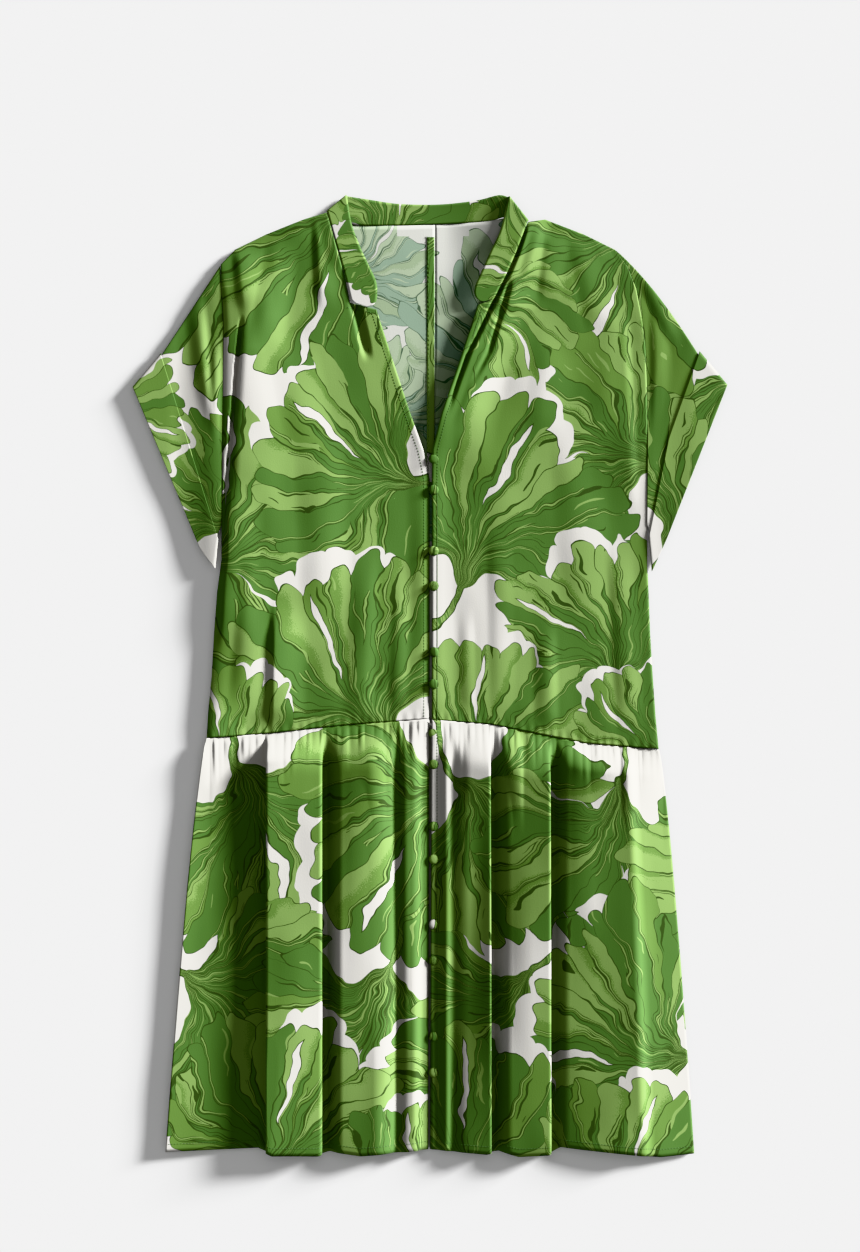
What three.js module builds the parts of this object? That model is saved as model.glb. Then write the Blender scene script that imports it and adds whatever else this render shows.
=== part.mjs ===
// Tunic dress, laid out flat with its front up: button-through bodice with a V neck and a narrow
// stand band, short sleeves with turned-up cuffs, and a gathered skirt.
// Millimetres. +X is the wearer's left, +Y runs towards the neck and +Z is up from the surface.

import * as THREE from 'three';

// Walls and clearances
const CLOTH = 1.2; // one layer of cloth with the thickness of its seams
const BAND = 2; // the collar band, doubled and faced with its own cloth
const GAP = 0.3; // between two pieces that are sewn together
const SHARPEST_MITRE = 0.3; // keeps the underside of a sharp fold close to its upper side
const FRONT_Z = 2 * CLOTH + GAP; // upper face of a front panel where it lies flat on the back
const FRONT_EDGE_RISE = 1; // lift of the two front edges, doubled under by their facings
const FRONT_EDGE_WIDTH = 9; // level strip beside each front edge, where the buttons sit
const FRONT_EDGE_FADE = 16;

// Lines that two pieces share
const CENTRE_BACK_X = 4.5;
const WAIST = [
  { x: -224, y: -62 },
  { x: -160, y: -57 },
  { x: -83, y: -48.5 },
  { x: -5, y: -43 },
  { x: 60, y: -48 },
  { x: 115, y: -59 },
  { x: 155, y: -67 },
  { x: 230, y: -73.5 },
];
const HEM = [
  { x: -266, y: -475 },
  { x: -172, y: -471 },
  { x: -158, y: -477.5 },
  { x: -112, y: -478 },
  { x: -100, y: -474 },
  { x: -70, y: -478 },
  { x: 0, y: -472.5 },
  { x: 56, y: -476.5 },
  { x: 68, y: -473.5 },
  { x: 88, y: -479 },
  { x: 118, y: -477 },
  { x: 130, y: -470 },
  { x: 230, y: -480 },
  { x: 264, y: -477 },
];
const SHOULDER_AND_NECK = [
  { x: -209.5, y: 411 },
  { x: -195, y: 426 },
  { x: -164.5, y: 441 },
  { x: -126.5, y: 456 },
  { x: -103.5, y: 463 },
  { x: -78.5, y: 451 },
  { x: -33.5, y: 450 },
  { x: 15.5, y: 451.4 },
  { x: 57.5, y: 454 },
  { x: 76, y: 457.7 },
  { x: 97.2, y: 453 },
  { x: 114.5, y: 456 },
  { x: 153.5, y: 441 },
  { x: 184.5, y: 426 },
];
const EDGE_REACH = 70; // how far the bow of a shoulder or waist carries into the rows beside it

// Front bodice, a row for each level from the shoulder to the waist. Outer is the armhole and then
// the side seam; inner is the collar seam, the neck edge and then the front edge.
const FRONT_LEVELS = {
  right: [
    { outerX: -209.5, outerY: 411, innerX: -103.5, innerY: 463 },
    { outerX: -209, outerY: 390, innerX: -96, innerY: 436 },
    { outerX: -207.5, outerY: 370, innerX: -90.7, innerY: 417 },
    { outerX: -206.5, outerY: 349, innerX: -87.5, innerY: 405 },
    { outerX: -206.8, outerY: 332, innerX: -84, innerY: 391 },
    { outerX: -207, outerY: 316, innerX: -80.5, innerY: 373 },
    { outerX: -207.2, outerY: 309, innerX: -54, innerY: 366 },
    { outerX: -207.5, outerY: 280, innerX: -39.5, innerY: 321 },
    { outerX: -208, outerY: 245, innerX: -20, innerY: 262 },
    { outerX: -208.3, outerY: 218, innerX: -7, innerY: 226 },
    { outerX: -208.5, outerY: 190, innerX: -1.1, innerY: 197 },
    { outerX: -208.5, outerY: 150, innerX: -1.1, innerY: 155 },
    { outerX: -208.7, outerY: 116, innerX: -1.1, innerY: 118 },
    { outerX: -213, outerY: 84, innerX: -1.1, innerY: 86 },
    { outerX: -216, outerY: 44, innerX: -1.1, innerY: 50 },
    { outerX: -218.5, outerY: 0, innerX: -1.1, innerY: 10 },
    { outerX: -222, outerY: -36, innerX: -1.1, innerY: -22 },
    { outerX: -223.5, outerY: -62, innerX: -1.1, innerY: -43.5 },
  ],
  left: [
    { outerX: 184.5, outerY: 426, innerX: 97.2, innerY: 453 },
    { outerX: 197, outerY: 409, innerX: 90.7, innerY: 436 },
    { outerX: 205.5, outerY: 387, innerX: 84.5, innerY: 420 },
    { outerX: 211.5, outerY: 356, innerX: 75.5, innerY: 400 },
    { outerX: 214.5, outerY: 333, innerX: 63.5, innerY: 376 },
    { outerX: 215, outerY: 325, innerX: 47, innerY: 370 },
    { outerX: 216.2, outerY: 290, innerX: 31, innerY: 321 },
    { outerX: 217, outerY: 245, innerX: 11, innerY: 262 },
    { outerX: 216.9, outerY: 218, innerX: 1.8, innerY: 226 },
    { outerX: 216.7, outerY: 190, innerX: 1.4, innerY: 197 },
    { outerX: 216.4, outerY: 150, innerX: 1.4, innerY: 155 },
    { outerX: 216.6, outerY: 112, innerX: 1.4, innerY: 118 },
    { outerX: 218, outerY: 84, innerX: 1.4, innerY: 86 },
    { outerX: 219.5, outerY: 44, innerX: 1.4, innerY: 50 },
    { outerX: 222, outerY: 2, innerX: 1.4, innerY: 10 },
    { outerX: 225, outerY: -40, innerX: 1.4, innerY: -22 },
    { outerX: 228, outerY: -73, innerX: 1.4, innerY: -43.5 },
  ],
};
const UNDERARM_LEVEL = { right: 11, left: 10 };
const BODICE_COLUMNS = [0, 0.03, 0.07, 0.11, 0.17, 0.25, 0.35, 0.46, 0.57, 0.67, 0.76, 0.84, 0.91, 0.96, 1];
const BACK_COLUMNS = 8;
const SHORTEST_COLUMN = 0.012; // share of the row: seam corners closer than this to a column are left out
const BODICE_FULLNESS = 1.6; // how far the middle of a bodice front stands off its back
const FULLNESS_STARTS = { outer: 0.2, inner: 0.15 }; // shares of a row that it grows over
const FOLD_STARTS = 0.04; // share of a row, from its outer seam, that a fold grows over
const FOLD_RUNS_ON = 0.15; // share of its length that a fold runs on past each end
const FOLD_ENDS = 0.4; // share of its length that it dies away over

// Soft folds of the upper layer, a row for each: its crest runs from (x0, y0) to (x1, y1), stands
// rise high, and falls away within left to its -X side and right to its +X side.
const BODICE_FOLDS = [
  { x0: -187, y0: 372, x1: -200, y1: 165, rise: 4.5, left: 9, right: 46 },
  { x0: -92, y0: 396, x1: -66, y1: 316, rise: 2.6, left: 20, right: 8 },
  { x0: -106, y0: 448, x1: -108, y1: 366, rise: 1.8, left: 14, right: 9 },
  { x0: -60, y0: 326, x1: -20, y1: 262, rise: 1.6, left: 12, right: 10 },
  { x0: 92, y0: 412, x1: 52, y1: 318, rise: 3.4, left: 8, right: 26 },
  { x0: 52, y0: 318, x1: 24, y1: 246, rise: 3, left: 8, right: 24 },
  { x0: 198, y0: 352, x1: 204, y1: 165, rise: 3, left: 36, right: 9 },
  { x0: -155, y0: 60, x1: -157, y1: -55, rise: 2.4, left: 6, right: 30 },
  { x0: 112, y0: 40, x1: 114, y1: -58, rise: 2.4, left: 28, right: 6 },
  { x0: -112, y0: 230, x1: -104, y1: 90, rise: 1.4, left: 26, right: 26 },
  { x0: 140, y0: 250, x1: 150, y1: 60, rise: 1.6, left: 30, right: 24 },
];

// Skirt fronts, a row for each place where the section across the cloth changes, from -X to +X.
// waistX and hemX place it at the two ends; shift moves it sideways and rise lifts it where the
// fold is fully grown, so a shift against the run of the table tucks the cloth under; ripples is
// how many gathers are sewn in between this row and the next.
const SKIRT_FOLDS = {
  right: [
    { waistX: -223.5, hemX: -264.5, shift: 0, rise: 0, ripples: 2 },
    { waistX: -197, hemX: -218, shift: 0, rise: 3.2, ripples: 2 },
    { waistX: -165.5, hemX: -165.5, shift: 5, rise: 0, ripples: 0 },
    { waistX: -162.5, hemX: -162.5, shift: -1, rise: 8.4, ripples: 2 },
    { waistX: -134, hemX: -133, shift: 0, rise: 6.4, ripples: 2 },
    { waistX: -107, hemX: -107, shift: 1.5, rise: 8.8, ripples: 0 },
    { waistX: -104, hemX: -104, shift: -5, rise: 0, ripples: 1 },
    { waistX: -92, hemX: -92, shift: 0, rise: 0.4, ripples: 3 },
    { waistX: -56, hemX: -56, shift: 0, rise: 5.2, ripples: 2 },
    { waistX: -26, hemX: -26, shift: 0, rise: 1.2, ripples: 1 },
    { waistX: -14, hemX: -14, shift: 0, rise: 2.4, ripples: 0 },
    { waistX: -8, hemX: -8, shift: 0, rise: 0, ripples: 0 },
    { waistX: -1.1, hemX: -2.4, shift: 0, rise: 0, ripples: 0 },
  ],
  left: [
    { waistX: 1.4, hemX: -0.4, shift: 0, rise: 0, ripples: 0 },
    { waistX: 9, hemX: 9, shift: 0, rise: 0, ripples: 0 },
    { waistX: 15, hemX: 15, shift: 0, rise: 2.6, ripples: 1 },
    { waistX: 27, hemX: 26, shift: 0, rise: 2, ripples: 3 },
    { waistX: 56.5, hemX: 56.5, shift: 1.5, rise: 8.8, ripples: 0 },
    { waistX: 59.5, hemX: 59.5, shift: -5, rise: 0, ripples: 0 },
    { waistX: 67, hemX: 67, shift: 0, rise: 0.4, ripples: 2 },
    { waistX: 92, hemX: 92, shift: 0, rise: 4.6, ripples: 2 },
    { waistX: 120, hemX: 121, shift: 1, rise: 8, ripples: 0 },
    { waistX: 123, hemX: 124, shift: -5, rise: 0, ripples: 1 },
    { waistX: 134, hemX: 137, shift: 0, rise: 0.4, ripples: 3 },
    { waistX: 172, hemX: 182, shift: 0, rise: 4.2, ripples: 3 },
    { waistX: 214, hemX: 224, shift: 0, rise: 4.6, ripples: 0 },
    { waistX: 218, hemX: 231, shift: 0, rise: 0.4, ripples: 1 },
    { waistX: 228, hemX: 263.5, shift: 0, rise: 0, ripples: 0 },
  ],
};
const SKIRT_DROPS = [0, 6, 14, 26, 42, 62, 88, 122, 165, 215, 270, 325, 380, 430];
const SKIRT_FLARE = 0.75; // the sides spread fastest just below the waist
const FOLD_GROWTH = 95; // drop over which a fold grows to its full rise
const GATHER = { atSeam: 1.3, rise: 2.6, peak: 9, reach: 74 };
const GATHER_UNEVEN = { share: 0.35, perFold: 2.1, perRipple: 1.7 }; // how much their reaches differ
const BACK_HEM_LIFT = 1.2; // the back hem lies just behind the front one
const SKIRT_BACK_COLUMNS = 20;
const SKIRT_BACK_ROWS = 3; // one row for every three of the front

// Sleeves: the line where each sleeve ends inside its cuff, and the cuff's two edges, each from the
// shoulder fold to the underarm
const SLEEVE = {
  right: {
    head: { x: -209.9, y: 410 },
    end: [{ x: -290, y: 288 }, { x: -228, y: 136 }, { x: -219, y: 126 }],
    cuffInner: [{ x: -272, y: 327 }, { x: -211.5, y: 136 }],
    cuffOuter: [{ x: -297.5, y: 289 }, { x: -229.5, y: 126 }, { x: -214.5, y: 107 }],
    folds: [
      { x0: -232, y0: 372, x1: -222, y1: 240, rise: 2.4, left: 16, right: 9 },
      { x0: -250, y0: 345, x1: -244, y1: 262, rise: 1.4, left: 12, right: 12 },
    ],
  },
  left: {
    head: { x: 184.9, y: 425.6 },
    end: [{ x: 290, y: 288 }, { x: 233, y: 142 }, { x: 227, y: 125 }],
    cuffInner: [{ x: 270.5, y: 329 }, { x: 238, y: 238 }, { x: 218.2, y: 138 }],
    cuffOuter: [{ x: 296.5, y: 291 }, { x: 236, y: 137 }, { x: 221, y: 104 }],
    folds: [
      { x0: 226, y0: 366, x1: 228, y1: 236, rise: 2.2, left: 8, right: 18 },
      { x0: 214, y0: 400, x1: 250, y1: 330, rise: 1.6, left: 12, right: 14 },
    ],
  },
};
const SLEEVE_ROWS = 7;
const CUFF_ROWS = 3;
const CUFF_STEPS = 6;
const FOLD_INSET = 1.3; // where a flattened tube starts to turn over at its two folds
const LIFT = CLOTH + GAP; // how far the cuff raises the sleeve inside it
const LIFT_START = 12; // distance before the cuff within which the sleeve is level with its inside
const LIFT_REACH = 34; // and over which it comes down further in

// Collar band, a row for each section from the free end at the wearer's left round the back neck to
// the other. free is the loose edge, seam the sewn one, z the middle of the band's thickness.
const BAND_LOW = BAND / 2;
const BAND_TURN = (BAND + GAP) / 2;
const BAND_HIGH = BAND_LOW + 2 * BAND_TURN;
const BAND_FRONT = FRONT_Z - 0.1;
const COLLAR = {
  frontLeft: [
    { freeX: 49.5, freeY: 375.5, seamX: 59, seamY: 375.6, z: BAND_FRONT },
    { freeX: 44, freeY: 381, seamX: 63.2, seamY: 376.6, z: BAND_FRONT },
    { freeX: 44.5, freeY: 389, seamX: 69, seamY: 388, z: BAND_FRONT },
    { freeX: 51, freeY: 404, seamX: 75.2, seamY: 400.2, z: BAND_FRONT + 0.3 },
    { freeX: 60, freeY: 424, seamX: 84.2, seamY: 420.2, z: BAND_HIGH },
    { freeX: 70, freeY: 446, seamX: 90.4, seamY: 436.2, z: BAND_HIGH },
    { freeX: 77.5, freeY: 478, seamX: 96.9, seamY: 453.4, z: BAND_HIGH },
  ],
  back: [
    { freeX: 77.5, freeY: 478, seamX: 96.9, seamY: 453.4, z: BAND_LOW },
    { freeX: 67.5, freeY: 480, seamX: 76, seamY: 458, z: BAND_LOW },
    { freeX: 45, freeY: 475, seamX: 57.5, seamY: 454.3, z: BAND_LOW },
    { freeX: 8.5, freeY: 471.4, seamX: 15.5, seamY: 451.7, z: BAND_LOW },
    { freeX: -31.5, freeY: 472, seamX: -33.5, seamY: 450.3, z: BAND_LOW },
    { freeX: -60, freeY: 476, seamX: -78.5, seamY: 451.3, z: BAND_LOW },
    { freeX: -83.5, freeY: 479.5, seamX: -103.2, seamY: 463.3, z: BAND_LOW },
  ],
  frontRight: [
    { freeX: -83.5, freeY: 479.5, seamX: -103.2, seamY: 463.3, z: BAND_HIGH },
    { freeX: -78.5, freeY: 451, seamX: -95.7, seamY: 436.2, z: BAND_HIGH },
    { freeX: -69.5, freeY: 427, seamX: -90.4, seamY: 417.2, z: BAND_HIGH },
    { freeX: -61.5, freeY: 410, seamX: -87.2, seamY: 405.2, z: BAND_FRONT + 0.3 },
    { freeX: -54, freeY: 393, seamX: -83.7, seamY: 391.2, z: BAND_FRONT },
    { freeX: -53.5, freeY: 377, seamX: -80.2, seamY: 377.4, z: BAND_FRONT },
    { freeX: -58, freeY: 369.5, seamX: -78, seamY: 374.8, z: BAND_FRONT },
  ],
};
const BAND_STEPS = 2;
const BAND_TURN_STEPS = 4;
const BAND_ACROSS = 4;

// Covered buttons, in pairs down the wearer's left front edge
const BUTTON = { radius: 5, height: 3.4, x: 3.2, sides: 12 };
const BUTTON_PROFILE = [[0, 0], [0.8, 0], [1, 0.35], [0.78, 0.8], [0, 1]]; // shares of radius and height
const BUTTON_LEVELS = [217, 186, 125, 90, 24, -8, -57, -88, -150, -183, -248, -284, -360, -396];

const lerp = (a, b, t) => a + (b - a) * t;
const clamp01 = (t) => Math.min(1, Math.max(0, t));
const smooth = (t) => clamp01(t) ** 2 * (3 - 2 * clamp01(t));
const point = (x, y, z) => new THREE.Vector3(x, y, z);

// The y of a shared line at x
function levelOf(line, x) {
  const next = Math.max(1, line.findIndex((p, i) => i === line.length - 1 || p.x > x));
  const [a, b] = [line[next - 1], line[next]];
  return lerp(a.y, b.y, (x - a.x) / (b.x - a.x));
}

function stretches(edge) {
  return edge.slice(1).map((p, i) => Math.hypot(p.x - edge[i].x, p.y - edge[i].y));
}

function lengthOf(edge) {
  return stretches(edge).reduce((sum, length) => sum + length, 0);
}

// The point at fraction t of an edge's length
function along(edge, t) {
  const lengths = stretches(edge);
  let rest = t * lengthOf(edge);
  let i = 0;
  while (i < lengths.length - 1 && rest > lengths[i]) {
    rest -= lengths[i];
    i += 1;
  }
  const f = rest / lengths[i];
  return { x: lerp(edge[i].x, edge[i + 1].x, f), y: lerp(edge[i].y, edge[i + 1].y, f) };
}

// How high the folds of a table lift the point (x, y)
function foldRise(folds, x, y) {
  let rise = 0;
  for (const fold of folds) {
    const dx = fold.x1 - fold.x0;
    const dy = fold.y1 - fold.y0;
    const length = Math.hypot(dx, dy);
    const t = ((x - fold.x0) * dx + (y - fold.y0) * dy) / length ** 2;
    const side = ((x - fold.x0) * -dy + (y - fold.y0) * dx) / length;
    const across = Math.abs(side) / (side > 0 ? fold.right : fold.left);
    const ends = smooth((t + FOLD_RUNS_ON) / FOLD_ENDS) * smooth((1 + FOLD_RUNS_ON - t) / FOLD_ENDS);
    rise += across < 1 ? fold.rise * (1 - across ** 2) ** 2 * ends : 0;
  }
  return rise;
}

// The lower face of a row of upper points, one wall below and mitred at each bend
function wallBelow(row, wall) {
  const run = row[row.length - 1].clone().sub(row[0]).setZ(0).normalize();
  const flat = row.map((p) => ({ h: p.clone().sub(row[0]).setZ(0).dot(run), z: p.z }));
  const normals = flat.slice(1).map((p, i) => {
    const [h, z] = [p.h - flat[i].h, p.z - flat[i].z];
    const length = Math.hypot(h, z);
    return { h: z / length, z: -h / length };
  });
  return row.map((p, i) => {
    const a = normals[Math.max(0, i - 1)];
    const b = normals[Math.min(normals.length - 1, i)];
    const size = wall / Math.max(SHARPEST_MITRE, 1 + a.h * b.h + a.z * b.z);
    const out = p.clone().addScaledVector(run, (a.h + b.h) * size);
    return out.setZ(Math.max(p.z - wall, p.z + (a.z + b.z) * size));
  });
}

// A closed solid from two equal grids of points, the upper seen counter-clockwise from above
function solidBetween(upper, lower) {
  const [rows, columns] = [upper.length, upper[0].length];
  const positions = [...upper.flat(), ...lower.flat()].flatMap((p) => p.toArray());
  const at = (i, j, side) => side * rows * columns + i * columns + j;
  const index = [];
  const quad = (a, b, c, d) => index.push(a, b, c, a, c, d);
  for (let i = 0; i < rows - 1; i += 1) {
    for (let j = 0; j < columns - 1; j += 1) {
      quad(at(i, j, 0), at(i + 1, j, 0), at(i + 1, j + 1, 0), at(i, j + 1, 0));
      quad(at(i, j, 1), at(i, j + 1, 1), at(i + 1, j + 1, 1), at(i + 1, j, 1));
    }
    quad(at(i, 0, 0), at(i, 0, 1), at(i + 1, 0, 1), at(i + 1, 0, 0));
    quad(at(i, columns - 1, 0), at(i + 1, columns - 1, 0), at(i + 1, columns - 1, 1), at(i, columns - 1, 1));
  }
  for (let j = 0; j < columns - 1; j += 1) {
    quad(at(0, j, 0), at(0, j + 1, 0), at(0, j + 1, 1), at(0, j, 1));
    quad(at(rows - 1, j, 0), at(rows - 1, j, 1), at(rows - 1, j + 1, 1), at(rows - 1, j + 1, 0));
  }
  return geometryOf(positions, index);
}

// A closed solid from rings of outer points and the matching rings of inner points
function solidTube(outer, inner) {
  const [rows, ring] = [outer.length, outer[0].length];
  const positions = [...outer.flat(), ...inner.flat()].flatMap((p) => p.toArray());
  const at = (i, j, side) => side * rows * ring + i * ring + (j % ring);
  const index = [];
  const quad = (a, b, c, d) => index.push(a, b, c, a, c, d);
  for (let j = 0; j < ring; j += 1) {
    for (let i = 0; i < rows - 1; i += 1) {
      quad(at(i, j, 0), at(i + 1, j, 0), at(i + 1, j + 1, 0), at(i, j + 1, 0));
      quad(at(i, j, 1), at(i, j + 1, 1), at(i + 1, j + 1, 1), at(i + 1, j, 1));
    }
    quad(at(0, j, 0), at(0, j + 1, 0), at(0, j + 1, 1), at(0, j, 1));
    quad(at(rows - 1, j, 0), at(rows - 1, j, 1), at(rows - 1, j + 1, 1), at(rows - 1, j + 1, 0));
  }
  return geometryOf(positions, index);
}

// Faces point out whichever way the rows were laid
function geometryOf(positions, index) {
  const geometry = new THREE.BufferGeometry();
  geometry.setAttribute('position', new THREE.Float32BufferAttribute(positions, 3));
  const corner = (i) => new THREE.Vector3().fromArray(positions, 3 * i);
  let volume = 0;
  for (let i = 0; i < index.length; i += 3) {
    volume += corner(index[i]).dot(corner(index[i + 1]).cross(corner(index[i + 2])));
  }
  const facing = volume > 0 ? index : index.toReversed();
  geometry.setIndex(facing);
  geometry.computeVertexNormals();
  return geometry;
}

// Rows of a bodice panel's plan, bowed to the shoulder line above and the waist line below
function panelPlan(levels, fractions, gap) {
  const [top, bottom] = [levels[0], levels[levels.length - 1]];
  const bow = (level, line, s) => {
    const x = lerp(level.outerX, level.innerX, s);
    return levelOf(line, x) - lerp(level.outerY, level.innerY, s);
  };
  return levels.map((level) => fractions.map((s) => {
    const nearTop = 1 - clamp01((top.outerY - level.outerY) / EDGE_REACH);
    const nearBottom = 1 - clamp01((level.outerY - bottom.outerY) / EDGE_REACH);
    const side = Math.sign(level.outerX);
    const rise = nearTop * bow(top, SHOULDER_AND_NECK, s) + nearBottom * bow(bottom, WAIST, s);
    return {
      x: lerp(level.outerX - side * gap / 2, level.innerX, s),
      y: lerp(level.outerY, level.innerY, s) + rise + nearBottom * gap / 2,
      s,
    };
  }));
}

// Twice as many rows, each new one halfway between its neighbours
function halved(levels) {
  const middle = (a, b) => Object.fromEntries(Object.keys(a).map((key) => [key, (a[key] + b[key]) / 2]));
  return levels.flatMap((level, i) => (i === 0 ? [level] : [middle(levels[i - 1], level), level]));
}

// The upper face of a front panel with no folds in it
function frontZ(x) {
  return FRONT_Z + FRONT_EDGE_RISE * smooth(1 - (Math.abs(x) - FRONT_EDGE_WIDTH) / FRONT_EDGE_FADE);
}

function bodiceZ(x, y, s) {
  const fullness = smooth(s / FULLNESS_STARTS.outer) * smooth((1 - s) / FULLNESS_STARTS.inner);
  const folds = foldRise(BODICE_FOLDS, x, y) * smooth(s / FOLD_STARTS);
  return frontZ(x) + BODICE_FULLNESS * fullness + folds;
}

function bodiceFront(side) {
  const plan = panelPlan(halved(FRONT_LEVELS[side]), BODICE_COLUMNS, GAP);
  const upper = plan.map((row) => row.map((p) => point(p.x, p.y, bodiceZ(p.x, p.y, p.s))));
  return solidBetween(upper, upper.map((row) => wallBelow(row, CLOTH)));
}

// The back repeats the front's armhole and side seam, and runs to the centre-back seam
function bodiceBack(side) {
  const edge = CENTRE_BACK_X + (side === 'right' ? -GAP / 2 : GAP / 2);
  const outer = FRONT_LEVELS[side];
  const [topY, bottomY] = [levelOf(SHOULDER_AND_NECK, edge), levelOf(WAIST, edge)];
  const levels = outer.map((level) => {
    const t = (outer[0].outerY - level.outerY) / (outer[0].outerY - outer[outer.length - 1].outerY);
    return { ...level, innerX: edge, innerY: lerp(topY, bottomY, t) };
  });
  const corners = SHOULDER_AND_NECK.map((p) => (p.x - levels[0].outerX) / (edge - levels[0].outerX));
  const even = Array.from({ length: BACK_COLUMNS + 1 }, (_, i) => i / BACK_COLUMNS);
  const clear = (s) => even.every((e) => Math.abs(e - s) > SHORTEST_COLUMN);
  const inside = corners.filter((s) => s > 0 && s < 1 && clear(s));
  const fractions = [...even, ...inside].sort((a, b) => a - b);
  const plan = panelPlan(levels, fractions, GAP);
  const layer = (z) => plan.map((row) => row.map((p) => point(p.x, p.y, z)));
  return solidBetween(layer(CLOTH), layer(0));
}

// The section across a skirt front: the fold table with its gathers filled in
function skirtSection(table) {
  const { share, perFold, perRipple } = GATHER_UNEVEN;
  return table.flatMap((fold, k) => {
    const next = table[k + 1];
    const pieces = next ? Math.max(1, 2 * fold.ripples) : 1;
    return Array.from({ length: pieces }, (_, i) => ({
      ...Object.fromEntries(['waistX', 'hemX', 'shift', 'rise'].map((key) => (
        [key, next ? lerp(fold[key], next[key], i / pieces) : fold[key]]))),
      crest: i % 2,
      reach: GATHER.reach * (1 + share * Math.sin(perFold * k + perRipple * i)),
    }));
  });
}

function skirtPoint(column, drop, fullDrop) {
  const t = drop / fullDrop;
  const growth = smooth(drop / FOLD_GROWTH);
  const x = lerp(column.waistX, column.hemX, t ** SKIRT_FLARE) + column.shift * growth;
  const y = lerp(levelOf(WAIST, x) - GAP / 2, levelOf(HEM, x), t);
  const start = lerp(GATHER.atSeam, GATHER.rise, smooth(drop / GATHER.peak));
  const gather = column.crest * start * (1 - smooth((drop - GATHER.peak) / column.reach));
  return point(x, y, frontZ(x) + column.rise * growth + gather);
}

function skirtFront(side) {
  const columns = skirtSection(SKIRT_FOLDS[side]);
  const fullDrop = SKIRT_DROPS[SKIRT_DROPS.length - 1];
  const upper = SKIRT_DROPS.map((drop) => columns.map((column) => skirtPoint(column, drop, fullDrop)));
  return solidBetween(upper, upper.map((row) => wallBelow(row, CLOTH)));
}

function skirtBack() {
  const waistX = [SKIRT_FOLDS.right[0].waistX, SKIRT_FOLDS.left.at(-1).waistX];
  const hemX = [SKIRT_FOLDS.right[0].hemX, SKIRT_FOLDS.left.at(-1).hemX];
  const fullDrop = SKIRT_DROPS[SKIRT_DROPS.length - 1];
  const drops = SKIRT_DROPS.filter((_, i) => i % SKIRT_BACK_ROWS === 0 || i === SKIRT_DROPS.length - 1);
  const plan = drops.map((drop) => Array.from({ length: SKIRT_BACK_COLUMNS + 1 }, (_, i) => {
    const t = drop / fullDrop;
    const f = i / SKIRT_BACK_COLUMNS;
    const x = lerp(lerp(...waistX, f), lerp(...hemX, f), t ** SKIRT_FLARE);
    return { x, y: lerp(levelOf(WAIST, x) - GAP / 2, levelOf(HEM, x) + BACK_HEM_LIFT, t) };
  }));
  const layer = (z) => plan.map((row) => row.map((p) => point(p.x, p.y, z)));
  return solidBetween(layer(CLOTH), layer(0));
}

// A flattened tube: each section is a line from the shoulder fold to the underarm, and low and high
// give the outer faces of its two layers at a point of that line
function flattenedTube(lines, low, high) {
  const ring = (line, wall) => {
    const fold = wall / lengthOf(line);
    const start = (FOLD_INSET + wall) / lengthOf(line);
    const points = [along(line, start), ...line.slice(1, -1), along(line, 1 - start)];
    const at = (p, z) => point(p.x, p.y, z(p.x, p.y));
    const upper = (x, y) => high(x, y) - wall;
    const lower = (x, y) => low(x, y) + wall;
    const middle = (x, y) => (upper(x, y) + lower(x, y)) / 2;
    return [
      at(along(line, fold), middle),
      ...points.map((p) => at(p, upper)),
      at(along(line, 1 - fold), middle),
      ...points.toReversed().map((p) => at(p, lower)),
    ];
  };
  const outer = lines.map((line) => ring(line, 0));
  const inner = lines.map((line) => ring(line, CLOTH));
  return solidTube(outer, inner);
}

// How far the cuff raises the sleeve at (x, y): fully once inside the cuff
function sleeveLift(side, x, y) {
  const [a, b] = [SLEEVE[side].cuffInner[0], SLEEVE[side].cuffInner.at(-1)];
  const length = Math.hypot(b.x - a.x, b.y - a.y);
  const before = Math.sign(a.x) * ((x - a.x) * (b.y - a.y) - (y - a.y) * (b.x - a.x)) / length;
  return LIFT * (1 - smooth((before - LIFT_START) / LIFT_REACH));
}

function sleeve(side) {
  const { head, end, folds } = SLEEVE[side];
  const sign = Math.sign(head.x);
  const levels = FRONT_LEVELS[side].slice(0, UNDERARM_LEVEL[side] + 1);
  const armhole = levels.map((level) => ({ x: level.outerX + sign * GAP / 2, y: level.outerY }));
  armhole[0] = head;
  const lines = Array.from({ length: SLEEVE_ROWS + 1 }, (_, i) => {
    const u = i / SLEEVE_ROWS;
    return armhole.map((p, k) => {
      const q = along(end, k / (armhole.length - 1));
      return { x: lerp(p.x, q.x, u), y: lerp(p.y, q.y, u) };
    });
  });
  const lift = (x, y) => sleeveLift(side, x, y);
  const crease = (x, y) => foldRise(folds, x, y) * smooth(1 - lift(x, y) / LIFT);
  return flattenedTube(lines, lift, (x, y) => FRONT_Z + lift(x, y) + crease(x, y));
}

function cuff(side) {
  const { cuffInner, cuffOuter } = SLEEVE[side];
  const lines = Array.from({ length: CUFF_ROWS + 1 }, (_, i) => (
    Array.from({ length: CUFF_STEPS + 1 }, (_, k) => {
      const [p, q] = [along(cuffInner, k / CUFF_STEPS), along(cuffOuter, k / CUFF_STEPS)];
      return { x: lerp(p.x, q.x, i / CUFF_ROWS), y: lerp(p.y, q.y, i / CUFF_ROWS) };
    })));
  return flattenedTube(lines, () => 0, () => FRONT_Z + LIFT + LIFT);
}

// One section of the band: its corners run along the face that looks up at the back of the neck,
// then back along the other face. out is the way from the middle of the wall to the first face.
function bandSection(row, out, shift) {
  const across = Array.from({ length: BAND_ACROSS + 1 }, (_, i) => i / BAND_ACROSS);
  const at = (f, sign) => point(lerp(row.freeX, row.seamX, f), lerp(row.freeY, row.seamY, f), row.z)
    .add(shift)
    .addScaledVector(out, sign * BAND / 2);
  return [...across.map((f) => at(f, 1)), ...across.toReversed().map((f) => at(f, -1))];
}

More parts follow.
